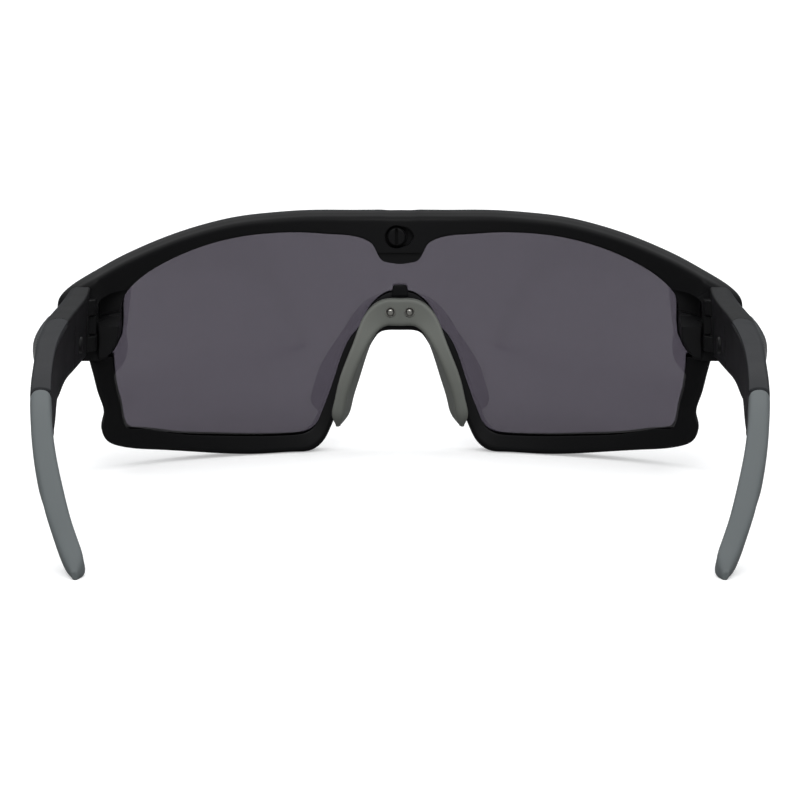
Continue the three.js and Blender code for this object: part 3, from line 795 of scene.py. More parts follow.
@dataclass
class BrowFrame:
    """The upper frame: its bar over the lens, the lock's boss, the endpieces, clamps and hinge knuckles."""

    rim: Rim
    spacing: float = 0.45  # between the bar's sections
    fillets: tuple[float, ...] = (0.45, 0.8, 2.6, 1.8, 0.8, 0.1, 0.1, 0.1, 0.1)
    end_edge: float = 0.35
    rear_drop: float = 1.6  # fall of the top from its crest to the rear edge
    front_drop: float = 1.3
    crest_depth: float = 3.4
    lens_groove: tuple[float, float] = (3.35, 5.65)  # depths from the rear face
    groove: float = 2.0
    front_step: float = 0.7  # how far the front lip stands back from the lens's edge
    knuckle_radius: float = 2.1
    knuckle_root: float = 33.0  # y inside the endpiece, where the knuckles' webs end
    knuckle_edge: float = 0.2
    knuckles: Stations = ((25.4, 28.4), (32.6, 35.6))  # heights of each one's faces
    recess: Oval = Oval(centre=LOCK_CENTRE, radii=(2.4, 2.4), low=3.1, high=9.0)
    pointer: Block = Block(
        centre=LOCK_CENTRE,
        corners=((-0.5, 2.3), (-2.2, 2.0), (-3.2, 1.2), (-3.65, 0.1), (-2.55, -1.7), (-0.5, -2.3)),
        fillets=(0.1, 0.5, 0.5, 0.4, 0.7, 0.1),
        low=3.6,
        high=9.0,
    )
    # Cuts the boss's lower lip back below this block's top.
    lip_step: Block = Block(
        corners=((-6.0, 36.0), (6.0, 36.0), (6.0, 41.15), (-6.0, 41.15)),
        fillets=(0.1,) * 4,
        low=4.75,
        high=9.0,
    )
    clamp_block: Block = Block(
        corners=((55.75, 32.3), (59.9, 31.2), (59.9, 23.4), (58.3, 23.5), (55.95, 27.2)),
        fillets=(0.5, 0.5, 0.5, 0.5, 0.6),
        low=24.0,
        high=36.0,
        edge=0.35,
    )
    # A wedge in (y, z), carried across in x, that takes off the clamp's rear top edge.
    clamp_chamfer: Block = Block(
        corners=((32.4, 31.7), (36.6, 29.6), (36.6, 34.0), (32.4, 34.0)),
        fillets=(0.05,) * 4,
        low=54.0,
        high=62.0,
    )
    # Hollows the rear face above the clamp, which leaves the clamp's top standing out.
    clamp_hollow: Block = Block(
        corners=((52.0, 31.0), (60.0, 31.0), (60.0, 35.0), (57.4, 36.3), (52.0, 36.6)),
        fillets=(0.3, 0.3, 1.2, 1.2, 0.3),
        low=28.4,
        high=44.0,
        edge=0.1,
    )

    def section(self, width: Array) -> Array:
        """The bar's corners: rear face, sloping top with its crest, front face, and the lens's groove.

        Args:
            width: the bar's width at each station.

        Returns:
            Points of (distance from the lens side, depth), shape (stations, corners, 2).
        """
        near, far = self.lens_groove
        return corners_of(
            width,
            (
                (0, 0, 0),
                (1, -self.rear_drop, 0),
                (1, 0, self.crest_depth),
                (1, -self.front_drop, self.rim.depth),
                (0, self.front_step, self.rim.depth),
                (0, self.front_step, far),
                (0, self.groove, far),
                (0, self.groove, near),
                (0, 0, near),
            ),
        )

    def clamp(self) -> Shell:
        """The block beside the lens's end, over the lower frame's socket."""
        wedge = self.clamp_chamfer.lying().moved(lambda p: p[:, [2, 0, 1]])
        return self.clamp_block.standing().cut_by([wedge])

    def knuckle(self, low: float, high: float) -> Shell:
        """A hinge knuckle: a half circle about the axis with straight sides to the endpiece, carried upright.

        Args:
            low: height of its lower face.
            high: height of its upper face.

        Returns:
            The knuckle on the wearer's left.
        """
        x, y = HINGE
        r = self.knuckle_radius
        turn = np.linspace(0, math.pi, HALF_TURN)
        bow = np.stack([x + r * np.cos(turn), y + r * np.sin(turn)], axis=-1)
        sides = np.linspace(y, self.knuckle_root, WEB)[1:, None]
        left = np.concatenate([np.full_like(sides, x - r), sides], axis=1)
        right = np.concatenate([np.full_like(sides, x + r), sides[::-1]], axis=1)
        return Shell.over(button(np.concatenate([bow, left, right]), low, high, self.knuckle_edge))

    def build(self) -> None:
        """Makes the brow frame."""
        pockets = [pocket.standing() for pocket in (self.recess, self.pointer, self.lip_step)]
        pockets += [self.clamp_hollow.standing().on_side(side) for side in Side]
        bar = Shell.over(round_ends(self.rim.rings(self.spacing, self.section, self.fillets), self.end_edge))
        shells = [bar.cut_by(pockets)]
        for side in Side:
            shells.append(self.clamp().on_side(side))
            shells += [self.knuckle(low, high).on_side(side) for low, high in self.knuckles]
        add_piece("brow_bar", shells, FRAME_NYLON, "front", ["brow_frame"])


@dataclass
class ShieldLens:
    """The one-piece lens: a wall between two plan radii, read in columns from its lower to its upper edge.

    Columns are (lower x, z, upper x, z) on the wearer's left.
    """

    columns: Stations
    side_bulge: float = 1.5  # how far the outer ends bow out half-way up
    bulge_span: tuple[float, float] = (52.0, 57.5)  # x over which that bow sets in
    across: int = 420  # columns read
    up: int = 60  # points up each face

    def build(self) -> None:
        """Makes the lens: each column is a thin closed ring, up the rear face and down the front face."""
        whole = both_sides(self.columns, (-1, 1, -1, 1))
        knots = chord_knots(whole[:, :2])
        read = fair(knots, whole, np.linspace(0, knots[-1], self.across))
        up = np.linspace(0, 1, self.up)
        flat = blend_of(read[:, None, :2], read[:, None, 2:], up[None, :, None])
        end = step_up(*self.bulge_span, np.abs(flat[..., 0]))
        flat[..., 0] += np.sign(flat[..., 0]) * self.side_bulge * end * np.sin(math.pi * up)
        rear, front = (
            np.stack([flat[..., 0], depth_at(radius, flat[..., 0]), flat[..., 1]], axis=-1)
            for radius in (LENS_REAR_RADIUS, LENS_RADIUS)
        )
        rings = np.concatenate([rear, front[:, ::-1]], axis=1)
        add_piece("lens_shield", [Shell.over(rings)], LENS_TINT, "front", ["lens"])


@dataclass
class LowerFrame:
    """The lower frame: two rims, two side posts and the nose arch with its lip over the lens."""

    rim: Rim
    spacing: float = 0.5
    fillets: tuple[float, ...] = (0.35, 1.1, 1.6, 1.5, 0.5, 0.1, 0.1, 0.1, 0.1)
    end_edge: float = 0.3
    lens_groove: tuple[float, float] = (2.25, 4.55)
    groove: float = 1.9
    rear_in: float = 0.25  # how far the free side falls back at the rear face
    front_in: float = 0.2  # and at the front face
    belly: float = 0.45  # share of the depth where the free side stands furthest out
    front_step: float = 0.35  # how far the front lip stands back from the stations
    rear_step: float = 0.1  # how far the rear lip does
    undercut: float = 1.2  # how far it has fallen away from the stations where it meets the lens
    rear_lean: float = 0.8  # how far the rear face leans forwards at the lens
    post_cover: float = 0.75  # how far the rear lip reaches over the lens at the side posts
    post_span: tuple[float, float] = (38.0, 56.0)  # x over which that sets in
    # Stands behind the lens at the top of the nose arch.
    lip: Block = Block(
        corners=((-1.75, 32.0), (1.75, 32.0), (1.4, 34.3), (-1.4, 34.3)),
        fillets=(0.2, 0.2, 0.45, 0.45),
        low=2.35,
        high=4.1,
        edge=0.2,
    )

    def section(self, width: Array) -> Array:
        """The rim's corners: rear face, free side, front face and the lens's groove.

        Args:
            width: the rim's width at each station.

        Returns:
            Points of (distance from the lens side, depth), shape (stations, corners, 2).
        """
        depth = self.rim.depth
        near, far = self.lens_groove
        corners = corners_of(
            width,
            (
                (0, self.rear_step, self.rear_lean),
                (1, -self.rear_in, 0),
                (1, 0, self.belly * depth),
                (1, -self.front_in, depth),
                (0, self.front_step, depth),
                (0, self.front_step, far),
                (0, self.groove, far),
                (0, self.groove, near),
                (0, self.undercut, near),
            ),
        )
        lens_side, _ = self.rim.sides(self.spacing)
        corners[:, 0, 0] -= self.post_cover * step_up(*self.post_span, np.abs(lens_side[:, 0]))
        return corners

    def build(self) -> None:
        """Makes the lower frame, held above the table."""
        rings = round_ends(self.rim.rings(self.spacing, self.section, self.fillets), self.end_edge)
        rings[..., 2] = np.maximum(rings[..., 2], 0)
        shells = [Shell.over(rings), self.lip.standing()]
        add_piece("lower_rim", shells, FRAME_NYLON, "front", ["lower_frame"])


@dataclass
class LensLock:
    """The quarter-turn lock: a coin-slotted knob, with its cam and friction ring kept from the frame."""

    head: Oval = Oval(centre=LOCK_CENTRE, radii=(1.88, 1.88), low=4.1, high=5.5, edge=0.34)
    shaft: Oval = Oval(centre=LOCK_CENTRE, radii=(1.0, 1.0), low=2.1, high=4.18, count=32)
    slot: Block = Block(
        centre=LOCK_CENTRE,
        corners=((-0.33, -1.75), (0.33, -1.75), (0.33, 1.75), (-0.33, 1.75)),
        fillets=(0.2,) * 4,
        low=4.2,
        high=8.0,
        edge=0.03,
    )

    def build(self) -> None:
        """Makes the knob and dresses the rest."""
        shells = [self.head.standing().cut_by([self.slot.standing()]), self.shaft.standing()]
        add_piece("lock_knob_head", shells, FRAME_NYLON, "lens_lock", ["lock_knob"])
        dress_node("lock_cam", FRAME_NYLON)
        dress_node("lock_ring", SEAL_RUBBER)


@dataclass
class NoseSaddle:
    """The rubber saddle over the nose arch, with its two pins.

    Stations are (x, y, z, half thickness, half depth, splay) along its middle line on the wearer's left.
    """

    stations: Stations
    sections: int = 190
    fillets: tuple[float, ...] = (0.6, 0.9, 0.7, 0.6)
    inner_share: float = 0.86  # depth of the side towards the nose, as a share of the other's
    end_edge: float = 0.35
    pin: Oval = Oval(centre=PIN_CENTRE, radii=(0.8, 0.8), low=7.4, high=8.3, edge=0.5, count=40, steps=6)
    pin_well: Oval = Oval(centre=PIN_CENTRE, radii=(1.1, 1.1), low=7.4, high=12.0, count=40)
    vent: Oval = Oval(centre=(9.7, 11.6), radii=(0.3, 0.3), low=9.0, high=20.0, edge=0.03, count=20)

    def rings(self) -> Array:
        """The saddle's sections: across the middle line in the plane of the front, and back along its splay.

        Returns:
            Rings, shape (sections, points, 3).
        """
        whole = both_sides(self.stations, (-1, 1, 1, 1, 1, -1))
        knots = chord_knots(whole[:, :3])
        at = np.linspace(0, knots[-1], self.sections)
        read = fair(knots, whole, at)
        tangent = np.gradient(read[:, :3], axis=0)
        away = np.stack([-tangent[:, 2], np.zeros(len(at)), tangent[:, 0]], axis=-1)
        away /= np.linalg.norm(away, axis=1, keepdims=True)
        back = np.stack([read[:, 5], np.ones(len(at)), np.zeros(len(at))], axis=-1)
        back /= np.linalg.norm(back, axis=1, keepdims=True)
        thick, deep = read[:, 3], read[:, 4]
        corners = outlines((-thick, -deep), (-thick, deep * self.inner_share), (thick, deep), (thick, -deep))
        ring = filleted(corners, self.fillets)
        return read[:, None, :3] + ring[..., :1] * away[:, None] + ring[..., 1:] * back[:, None]

    def build(self) -> None:
        """Makes the saddle and its pins, and dresses the metal band inside it."""
        wells = [well.standing().on_side(side) for well in (self.pin_well, self.vent) for side in Side]
        pads = Shell.over(round_ends(self.rings(), self.end_edge)).cut_by(wells)
        add_piece("nose_pads", [pads], NOSE_RUBBER, "front", ["nose_saddle"])
        for side in Side:
            head = self.pin.standing().on_side(side)
            add_piece(f"nose_pin_head_{side.word}", [head], STEEL, "front", [f"nose_pin_{side.word}"])
        dress_node("nose_core", STEEL)


# ---------------------------------------------------------------- the temples


@dataclass
class TempleForm:
    """The temple's body as curves over y: corners in x, the outer face's bow, and the two edges in z."""

    inner_top: Stations
    inner_bottom: Stations
    outer_top: Stations
    outer_bottom: Stations
    bow: Stations
    upper: Stations
    lower: Stations

    def read(self, curve: Stations, y: Array) -> Array:
        """One curve's value at each y.

        Args:
            curve: the curve's stations, (y, value).
            y: the places to read.

        Returns:
            The values, in the shape of y.
        """
        rows = np.array(curve)
        flat = np.asarray(y, float)
        return fair(rows[:, 0], rows[:, 1:], flat.ravel())[:, 0].reshape(flat.shape)

    def width(self, y: Array) -> Array:
        """Thickness across the temple at each y."""
        return self.read(self.outer_top, y) - self.read(self.inner_top, y)

    def height(self, y: Array) -> Array:
        """Height of the temple at each y."""
        return self.read(self.upper, y) - self.read(self.lower, y)

    def place(self, y: Array, across: Array, over: Array) -> Array:
        """Points of the body: a blend between its faces, with the outer face bowed out by a half sine.

        Args:
            y: depth of each point.
            across: share of the way from the inner to the outer face.
            over: share of the way from the lower to the upper edge.

        Returns:
            The points, with one more axis of three.
        """
        bow = self.read(self.bow, y) * np.sin(math.pi * np.clip(over, 0, 1))
        inner = blend_of(self.read(self.inner_bottom, y), self.read(self.inner_top, y), over)
        outer = blend_of(self.read(self.outer_bottom, y), self.read(self.outer_top, y), over) + bow
        z = blend_of(self.read(self.lower, y), self.read(self.upper, y), over)
        return np.stack([blend_of(inner, outer, across), y, z], axis=-1)


@dataclass
class SideTrim:
    """The side trim: a long leaf in the temple's outer face, with fine ribs across its rear half."""

    form: TempleForm
    span: tuple[float, float] = (47.5, 91.5)
    leaf: tuple[float, float] = (47.0, 45.0)  # y of the leaf's point, and its length
    sections: int = 240
    arc: int = 4
    runs: tuple[float, float, int] = (0.1, 0.9, 7)
    half: float = 3.6  # its half height at the fullest
    slender: float = 0.45  # share of that height at its two points
    fullness: float = 0.6  # power of the sine that fills its outline
    middle: float = 0.58  # share of the temple's height where its middle line runs
    sunk: float = 0.6  # how far it reaches into the temple
    swell: float = 0.22  # how far it stands out at its middle, and at its points
    rise: float = 0.06
    rib_height: float = 0.12
    rib_spacing: float = 1.6
    ribs_start: tuple[float, float] = (60, 64)  # y over which the ribs rise, and over which they fade
    ribs_end: tuple[float, float] = (84, 88)
    fillets: tuple[float, ...] = (0.1, 0.35, 0.35, 0.1)
    end_edge: float = 0.15

    def shell(self) -> Shell:
        """The leaf's half height and its swell are powers of a half sine, and the ribs a raised cosine.

        Returns:
            The trim on the wearer's left.
        """
        y = np.linspace(*self.span, self.sections)
        share = (y - self.leaf[0]) / self.leaf[1]
        sine = np.sin(math.pi * share)
        half = self.half * (self.slender + (1 - self.slender) * sine**self.fullness)
        ribs = self.rib_height * (0.5 + 0.5 * np.cos(2 * math.pi * y / self.rib_spacing))
        ribs = ribs * step_up(*self.ribs_start, y) * (1 - step_up(*self.ribs_end, y))
        sunk, raised = np.full_like(y, -self.sunk), self.swell * sine**0.5 + self.rise + ribs
        corners = outlines((sunk, -half), (raised, -half), (raised, half), (sunk, half))
        ring = filleted(corners, self.fillets, self.arc, np.linspace(*self.runs))
        depth = np.repeat(y[:, None], ring.shape[1], axis=1)
        over = self.middle + ring[..., 1] / self.form.height(y)[:, None]
        points = self.form.place(depth, np.ones_like(depth), over)
        points[..., 0] += ring[..., 0]
        return Shell.over(round_ends(points, self.end_edge))


@dataclass
class Temple:
    """One temple: the arm with its hinge tongue, the grip strip, the side trim and the rubber tip."""

    form: TempleForm
    side: Side
    arc: int = 6  # pieces in each corner of a section
    runs: tuple[float, float, int] = (0.06, 0.94, 9)  # points along its straight edges: first, last, count
    front: float = 36.2
    end_edge: float = 0.3
    arm_sections: int = 80  # before the grip, and again under it
    arm_fillets: tuple[float, ...] = (1.5, 1.1, 1.0, 0.6)
    grip_from: float = 71.0
    grip_to: float = 112.3
    grip_depths: tuple[float, float] = (0.5, 2.6)  # the strip's thickness at its inner and its outer side
    grip_bed: float = 0.1  # how far the arm lies below the strip
    grip_fillets: tuple[float, ...] = (0.1, 0.2, 1.0, 0.3)
    grip_sections: int = 90
    grip_proud: float = 0.02
    grip_edge: float = 0.12
    tip_gap: float = 0.9  # from the grip's end to the tip's first section
    tip_turn: float = 146.5  # y from where the tip's sections stand closer
    tip_to: float = 150.9
    tip_sections: tuple[int, int] = (90, 14)
    tip_fillets: tuple[float, ...] = (1.5, 1.5, 1.6, 1.3)
    tip_proud: float = 0.03
    arch: float = 3.0  # how far the grip's front seam bows forwards
    arch_reach: float = 7.0  # distance over which that bow fades
    tip_arch: float = 0.8
    tip_arch_reach: float = 5.0
    collar: tuple[float, float] = (-0.5, 1.8)  # the sunk neck's ends, from the end of the grip
    collar_inset: float = 0.4
    collar_sections: int = 24
    collar_edge: float = 0.1
    collar_fillets: tuple[float, ...] = (1.2, 1.0, 1.2, 1.0)
    tongue: tuple[float, float] = (28.65, 32.35)  # heights of the hinge tongue's faces
    tongue_radius: float = 2.0
    tongue_web: float = 4.5  # how far it reaches back into the arm
    tongue_inner: float = 0.7  # how far its inner side stands from the axis
    tongue_edge: float = 0.2
    inlay_to: float = 119.0
    inlay_sections: int = 40
    inlay_arc: int = 4
    inlay_edge: float = 0.1
    inlay_half: float = 2.6
    inlay_taper: float = 0.97
    inlay_levels: tuple[float, float] = (0.36, 0.42)  # its middle line, as shares of the temple's height
    inlay_faces: tuple[float, float] = (-0.05, 0.8)
    inlay_fillets: tuple[float, ...] = (0.3, 0.1, 0.1, 0.3)
    # The pocket in the arm's front end that the knuckles turn in.
    hinge_room: Block = Block(
        centre=HINGE,
        corners=((-5.2, -5.0), (2.45, -5.0), (2.45, 2.2), (-0.6, 2.6), (-5.2, 2.6)),
        fillets=(0.1, 0.1, 1.6, 0.6, 0.1),
        low=18.0,
        high=35.95,
        edge=0.1,
    )
    # The fine line across the arm's inner face.
    groove: Block = Block(
        corners=((60.0, 61.4), (64.1, 61.4), (64.1, 61.9), (60.0, 61.9)),
        fillets=(0.05,) * 4,
        low=24.6,
        high=33.4,
    )
    # The boss and its slot lie in (y, z), and their thickness runs in -x.
    boss: Oval = Oval(centre=(54.2, 28.7), radii=(1.9, 1.6), low=-64.5, high=-61.75, edge=0.3, count=40)
    boss_slot: Block = Block(
        corners=((53.85, 27.7), (54.55, 27.7), (54.55, 29.7), (53.85, 29.7)),
        fillets=(0.15,) * 4,
        low=-62.4,
        high=-60.0,
        edge=0.03,
    )

    def seam_bow(self, y: Array, across: Array) -> Array:
        """How far the sections bow forwards: a parabola across, fading with distance from the two seams.

        Args:
            y: depth of each point.
            across: share of the way from the inner to the outer face.

        Returns:
            What is added to each point's depth.
        """
        shape = 1 - (2 * np.clip(across, 0, 1) - 1) ** 2
        near_grip = np.exp(-(((y - self.grip_from) / self.arch_reach) ** 2))
        near_tip = np.exp(-(((y - self.grip_to) / self.tip_arch_reach) ** 2))
        return -shape * (self.arch * near_grip + self.tip_arch * near_tip)

    def levels(self, y: Array) -> Array:
        """The temple's height at each y, for its inner and its outer side."""
        return self.form.height(y)[:, None] * np.ones(2)

    def lofted(self, y: Array, low: Array, high: Array, radii: Sequence[float], proud: float = 0.0) -> Array:
        """Carries a rounded box section along the temple.

        Args:
            y: depth of each section.
            low: heights of its lower face above the temple's lower edge, at the inner and the outer side.
            high: heights of its upper face above the same edge, at the inner and the outer side.
            radii: fillets at the inner lower, outer lower, outer upper and inner upper corners.
            proud: how far it stands out of the temple's own faces.

        Returns:
            Rings, shape (sections, points, 3).
        """
        width, height = self.form.width(y), self.form.height(y)
        left, right = np.full_like(width, -proud), width + proud
        corners = outlines((left, low[:, 0]), (right, low[:, 1]), (right, high[:, 1]), (left, high[:, 0]))
        ring = filleted(corners, radii, self.arc, np.linspace(*self.runs))
        across, over = ring[..., 0] / width[:, None], ring[..., 1] / height[:, None]
        depth = np.repeat(y[:, None], ring.shape[1], axis=1)
        return self.form.place(depth + self.seam_bow(depth, across), across, over)

    def arm(self) -> Shell:
        """The arm: full height at the front and lowered under the grip, with room for the knuckles.

        Returns:
            The arm on the wearer's left.
        """
        front = np.linspace(self.front + self.end_edge, self.grip_from - SEAM, self.arm_sections)
        rear = np.linspace(self.grip_from, self.grip_to - self.end_edge, self.arm_sections)
        y = np.concatenate([front, rear])
        under = np.where(y < self.grip_from - SEAM / 2, 0.0, 1.0)
        top = self.levels(y) - under[:, None] * (np.array(self.grip_depths) + self.grip_bed)
        return Shell.over(round_ends(self.lofted(y, 0 * top, top, self.arm_fillets), self.end_edge))

    def neck(self) -> Shell:
        """The sunk neck between the arm and the tip.

        Returns:
            The neck on the wearer's left.
        """
        y = np.linspace(self.grip_to + self.collar[0], self.grip_to + self.collar[1], self.collar_sections)
        level, inset = self.levels(y), self.collar_inset
        rings = self.lofted(y, 0 * level + inset, level - inset, self.collar_fillets, -inset)
        return Shell.over(round_ends(rings, self.collar_edge))

    def hinge_tongue(self) -> Shell:
        """The tongue between the knuckles: a half circle about the axis with a web back into the arm.

        Returns:
            The tongue on the wearer's left.
        """
        x, y = HINGE
        r = self.tongue_radius
        turn = np.linspace(math.pi, 2 * math.pi, HALF_TURN)
        bow = np.stack([x + r * np.cos(turn), y + r * np.sin(turn)], axis=-1)
        web = np.linspace(y, y + self.tongue_web, WEB)[1:, None]
        right = np.concatenate([np.full_like(web, x + r), web], axis=1)
        left = np.concatenate([np.full_like(web, x - self.tongue_inner), web[::-1]], axis=1)
        return Shell.over(button(np.concatenate([bow, right, left]), *self.tongue, self.tongue_edge))

    def stop_boss(self) -> Shell:
        """The slotted oval boss on the arm's inner face, behind the hinge."""
        boss = self.boss.lying().cut_by([self.boss_slot.lying()])
        return boss.moved(lambda p: np.stack([-p[:, 2], p[:, 0], p[:, 1]], axis=-1))

    def grip(self) -> Shell:
        """The strip along the arm's upper edge.

        Returns:
            The strip on the wearer's left.
        """
        y = np.linspace(self.grip_from + SEAM, self.grip_to - SEAM, self.grip_sections)
        level = self.levels(y)
        rings = self.lofted(y, level - np.array(self.grip_depths), level, self.grip_fillets, self.grip_proud)
        return Shell.over(round_ends(rings, self.grip_edge))

    def tip(self) -> Shell:
        """The rubber tip, rounded all over and held above the table, closing to a blunt end.

        Returns:
            The tip on the wearer's left.
        """
        long, end = self.tip_sections
        y = np.linspace(self.grip_to + self.tip_gap, self.tip_turn, long)
        y = np.concatenate([y, np.linspace(self.tip_turn, self.tip_to, end)[1:]])
        level = self.levels(y)
        rings = round_ends(self.lofted(y, 0 * level, level, self.tip_fillets, self.tip_proud), self.end_edge)
        rings[..., 2] = np.maximum(rings[..., 2], 0)
        return Shell.over(rings)

    def tongue_inlay(self) -> Shell:
        """The arm's black tongue over the tip's inner face, whose half height falls with the root of the way.

        Returns:
            The inlay on the wearer's left.
        """
        y = np.linspace(self.grip_to + self.collar[0], self.inlay_to, self.inlay_sections)
        share = (y - y[0]) / (y[-1] - y[0])
        height = self.form.height(y)
        middle = height * blend_of(*self.inlay_levels, share)
        half = self.inlay_half * np.sqrt(1 - share * self.inlay_taper)
        inner, outer = (np.full_like(y, face) for face in self.inlay_faces)
        low, high = middle - half, middle + half
        corners = outlines((inner, low), (outer, low), (outer, high), (inner, high))
        ring = filleted(corners, self.inlay_fillets, self.inlay_arc)
        depth = np.repeat(y[:, None], ring.shape[1], axis=1)
        across, over = ring[..., 0] / self.form.width(y)[:, None], ring[..., 1] / height[:, None]
        return Shell.over(round_ends(self.form.place(depth, across, over), self.inlay_edge))

    def add(self, name: str, shells: Sequence[Shell], finish: Finish, node: str = "") -> None:
        """Adds one of the temple's pieces on its own side.

        Args:
            name: the piece's name, without its side.
            shells: its closed skins, already on that side.
            finish: what it is made of.
            node: the CAD node that it stands for, without its side.
        """
        word = self.side.word
        replaced = [f"{node}_{word}"] if node else ()
        add_piece(f"{name}_{word}", shells, finish, f"temple_{word}", replaced, False)

    def build(self) -> None:
        """Makes the temple's pieces and dresses its screw and core."""
        room = [pocket.lying().on_side(self.side) for pocket in (self.hinge_room, self.groove)]
        fittings = [self.hinge_tongue(), self.neck(), self.tongue_inlay(), self.stop_boss()]
        self.add("arm", [self.arm().on_side(self.side).cut_by(room)], FRAME_NYLON, "temple_arm")
        self.add("arm_fittings", [fitting.on_side(self.side) for fitting in fittings], FRAME_NYLON)
        self.add("grip", [self.grip().on_side(self.side)], GRIP_NYLON, "temple_grip")
        self.add("trim", [SideTrim(self.form).shell().on_side(self.side)], TRIM_NYLON, "side_trim")
        self.add("tip", [self.tip().on_side(self.side)], TIP_RUBBER, "temple_tip")
        dress_node(f"tip_core_{self.side.word}", STEEL, False)
        dress_node(f"hinge_screw_{self.side.word}", STEEL, False)


# ---------------------------------------------------------------- the studio


@dataclass(frozen=True)
class SoftBox:
    """One square soft light that faces a point; places and sizes are in metres, and power in watts."""

    name: str
    place: tuple[float, float, float]
    aim: tuple[float, float, float]
    size: float
    power: float

    def hang(self) -> None:
        """Adds the light to the scene, turned so that it faces its aim."""
        data = bpy.data.lights.new(self.name, "AREA")
        data.shape = "SQUARE"
        data.size = self.size
        data.energy = self.power
        lamp = bpy.data.objects.new(self.name, data)
        lamp.location = self.place
        towards = np.array(self.aim) - np.array(self.place)
        tilt = math.pi / 2 + math.atan2(towards[2], math.hypot(towards[0], towards[1]))
        lamp.rotation_euler = (tilt, 0, math.atan2(-towards[0], towards[1]))
        bpy.context.scene.collection.objects.link(lamp)


@dataclass
class Studio:
    """A pale floor under a large soft box, and the camera."""

    camera_back: float = 1000.0  # from the lens's apex, millimetres
    camera_height: float = 156.2
    pitch: float = 8.32  # degrees below level
    focal: float = 220.5
    sensor: float = 36.0
    clip: tuple[float, float] = (0.01, 50.0)  # metres
    floor_half: float = 6.0  # metres
    floor_bounce: str = "#a4a4a4"  # the floor as the glasses and the lights see it
    floor_glow: float = 0.38
    lights: tuple[SoftBox, ...] = (
        SoftBox("overhead", (0, -0.7, 1.6), (0, -0.7, 0), 4.0, 62.0),
        SoftBox("behind_camera", (0, 1.9, 1.3), (0, 0, 0), 1.2, 27.0),
        SoftBox("left", (1.5, -0.6, 0.5), (0, 0, 0.02), 0.8, 1.0),
        SoftBox("right", (-1.5, -0.6, 0.5), (0, 0, 0.02), 0.8, 1.0),
    )
    backdrop: tuple[float, ...] = (0.9, 0.9, 0.9, 1)
    backdrop_strength: float = 1.0
    fill: tuple[float, ...] = (0.9, 0.95, 1, 1)
    fill_strength: float = 0.25

    def floor(self) -> None:
        """A wide level floor, paler where the camera looks than where light bounces off it."""
        h = self.floor_half
        mesh = bpy.data.meshes.new("floor")
        mesh.from_pydata([(-h, -h, 0), (h, -h, 0), (h, h, 0), (-h, h, 0)], [], [(0, 1, 2, 3)])
        floor = bpy.data.objects.new("floor", mesh)
        bpy.context.scene.collection.objects.link(floor)
        material = FLOOR_PAPER.material()
        tree = material.node_tree
        shader = tree.nodes["Principled BSDF"]
        shader.inputs["Emission Color"].default_value = (1, 1, 1, 1)
        path = add_node(tree, "ShaderNodeLightPath")
        seen = add_node(
            tree,
            "ShaderNodeMath",
            {"operation": "MAXIMUM"},
            {0: path.outputs["Is Camera Ray"], 1: path.outputs["Is Transmission Ray"]},
        )
        glow = add_node(tree, "ShaderNodeMath", {"operation": "MULTIPLY"}, {0: seen.outputs["Value"]})
        glow.inputs[1].default_value = self.floor_glow
        shade = add_node(tree, "ShaderNodeMix", {"data_type": "RGBA"}, {"Factor": seen.outputs["Value"]})
        shade.inputs["A"].default_value = linear(self.floor_bounce)
        shade.inputs["B"].default_value = linear(FLOOR_PAPER.colour)
        tree.links.new(shade.outputs["Result"], shader.inputs["Base Color"])
        tree.links.new(glow.outputs["Value"], shader.inputs["Emission Strength"])
        mesh.materials.append(material)

    def world(self) -> None:
        """Pale surroundings where the camera looks past the floor, and dim ones for the light they give."""
        world = bpy.data.worlds.new("studio")
        world.use_nodes = True
        tree = world.node_tree
        tree.nodes.clear()
        path = add_node(tree, "ShaderNodeLightPath")
        seen, dim = (
            add_node(tree, "ShaderNodeBackground", {"Color": colour, "Strength": strength})
            for colour, strength in ((self.backdrop, self.backdrop_strength), (self.fill, self.fill_strength))
        )
        mix = add_node(
            tree,
            "ShaderNodeMixShader",
            links={
                "Fac": path.outputs["Is Camera Ray"],
                1: dim.outputs["Background"],
                2: seen.outputs["Background"],
            },
        )
        add_node(tree, "ShaderNodeOutputWorld", links={"Surface": mix.outputs["Shader"]})
        bpy.context.scene.world = world

    def camera(self) -> None:
        """The camera behind and above the glasses, level across."""
        data = bpy.data.cameras.new("camera")
        data.sensor_width = self.sensor
        data.lens = self.focal
        data.clip_start, data.clip_end = self.clip
        view = bpy.data.objects.new("camera", data)
        view.location = (0, (self.camera_back + APEX_Y) * METRES, self.camera_height * METRES)
        view.rotation_euler = (math.radians(90 - self.pitch), 0, math.pi)
        bpy.context.scene.collection.objects.link(view)
        bpy.context.scene.camera = view

    def build(self) -> None:
        """Sets the stage."""
        self.camera()
        self.floor()
        self.world()
        for light in self.lights:
            light.hang()
        bpy.context.scene.view_settings.view_transform = "Standard"


# ---------------------------------------------------------------- the glasses' own forms

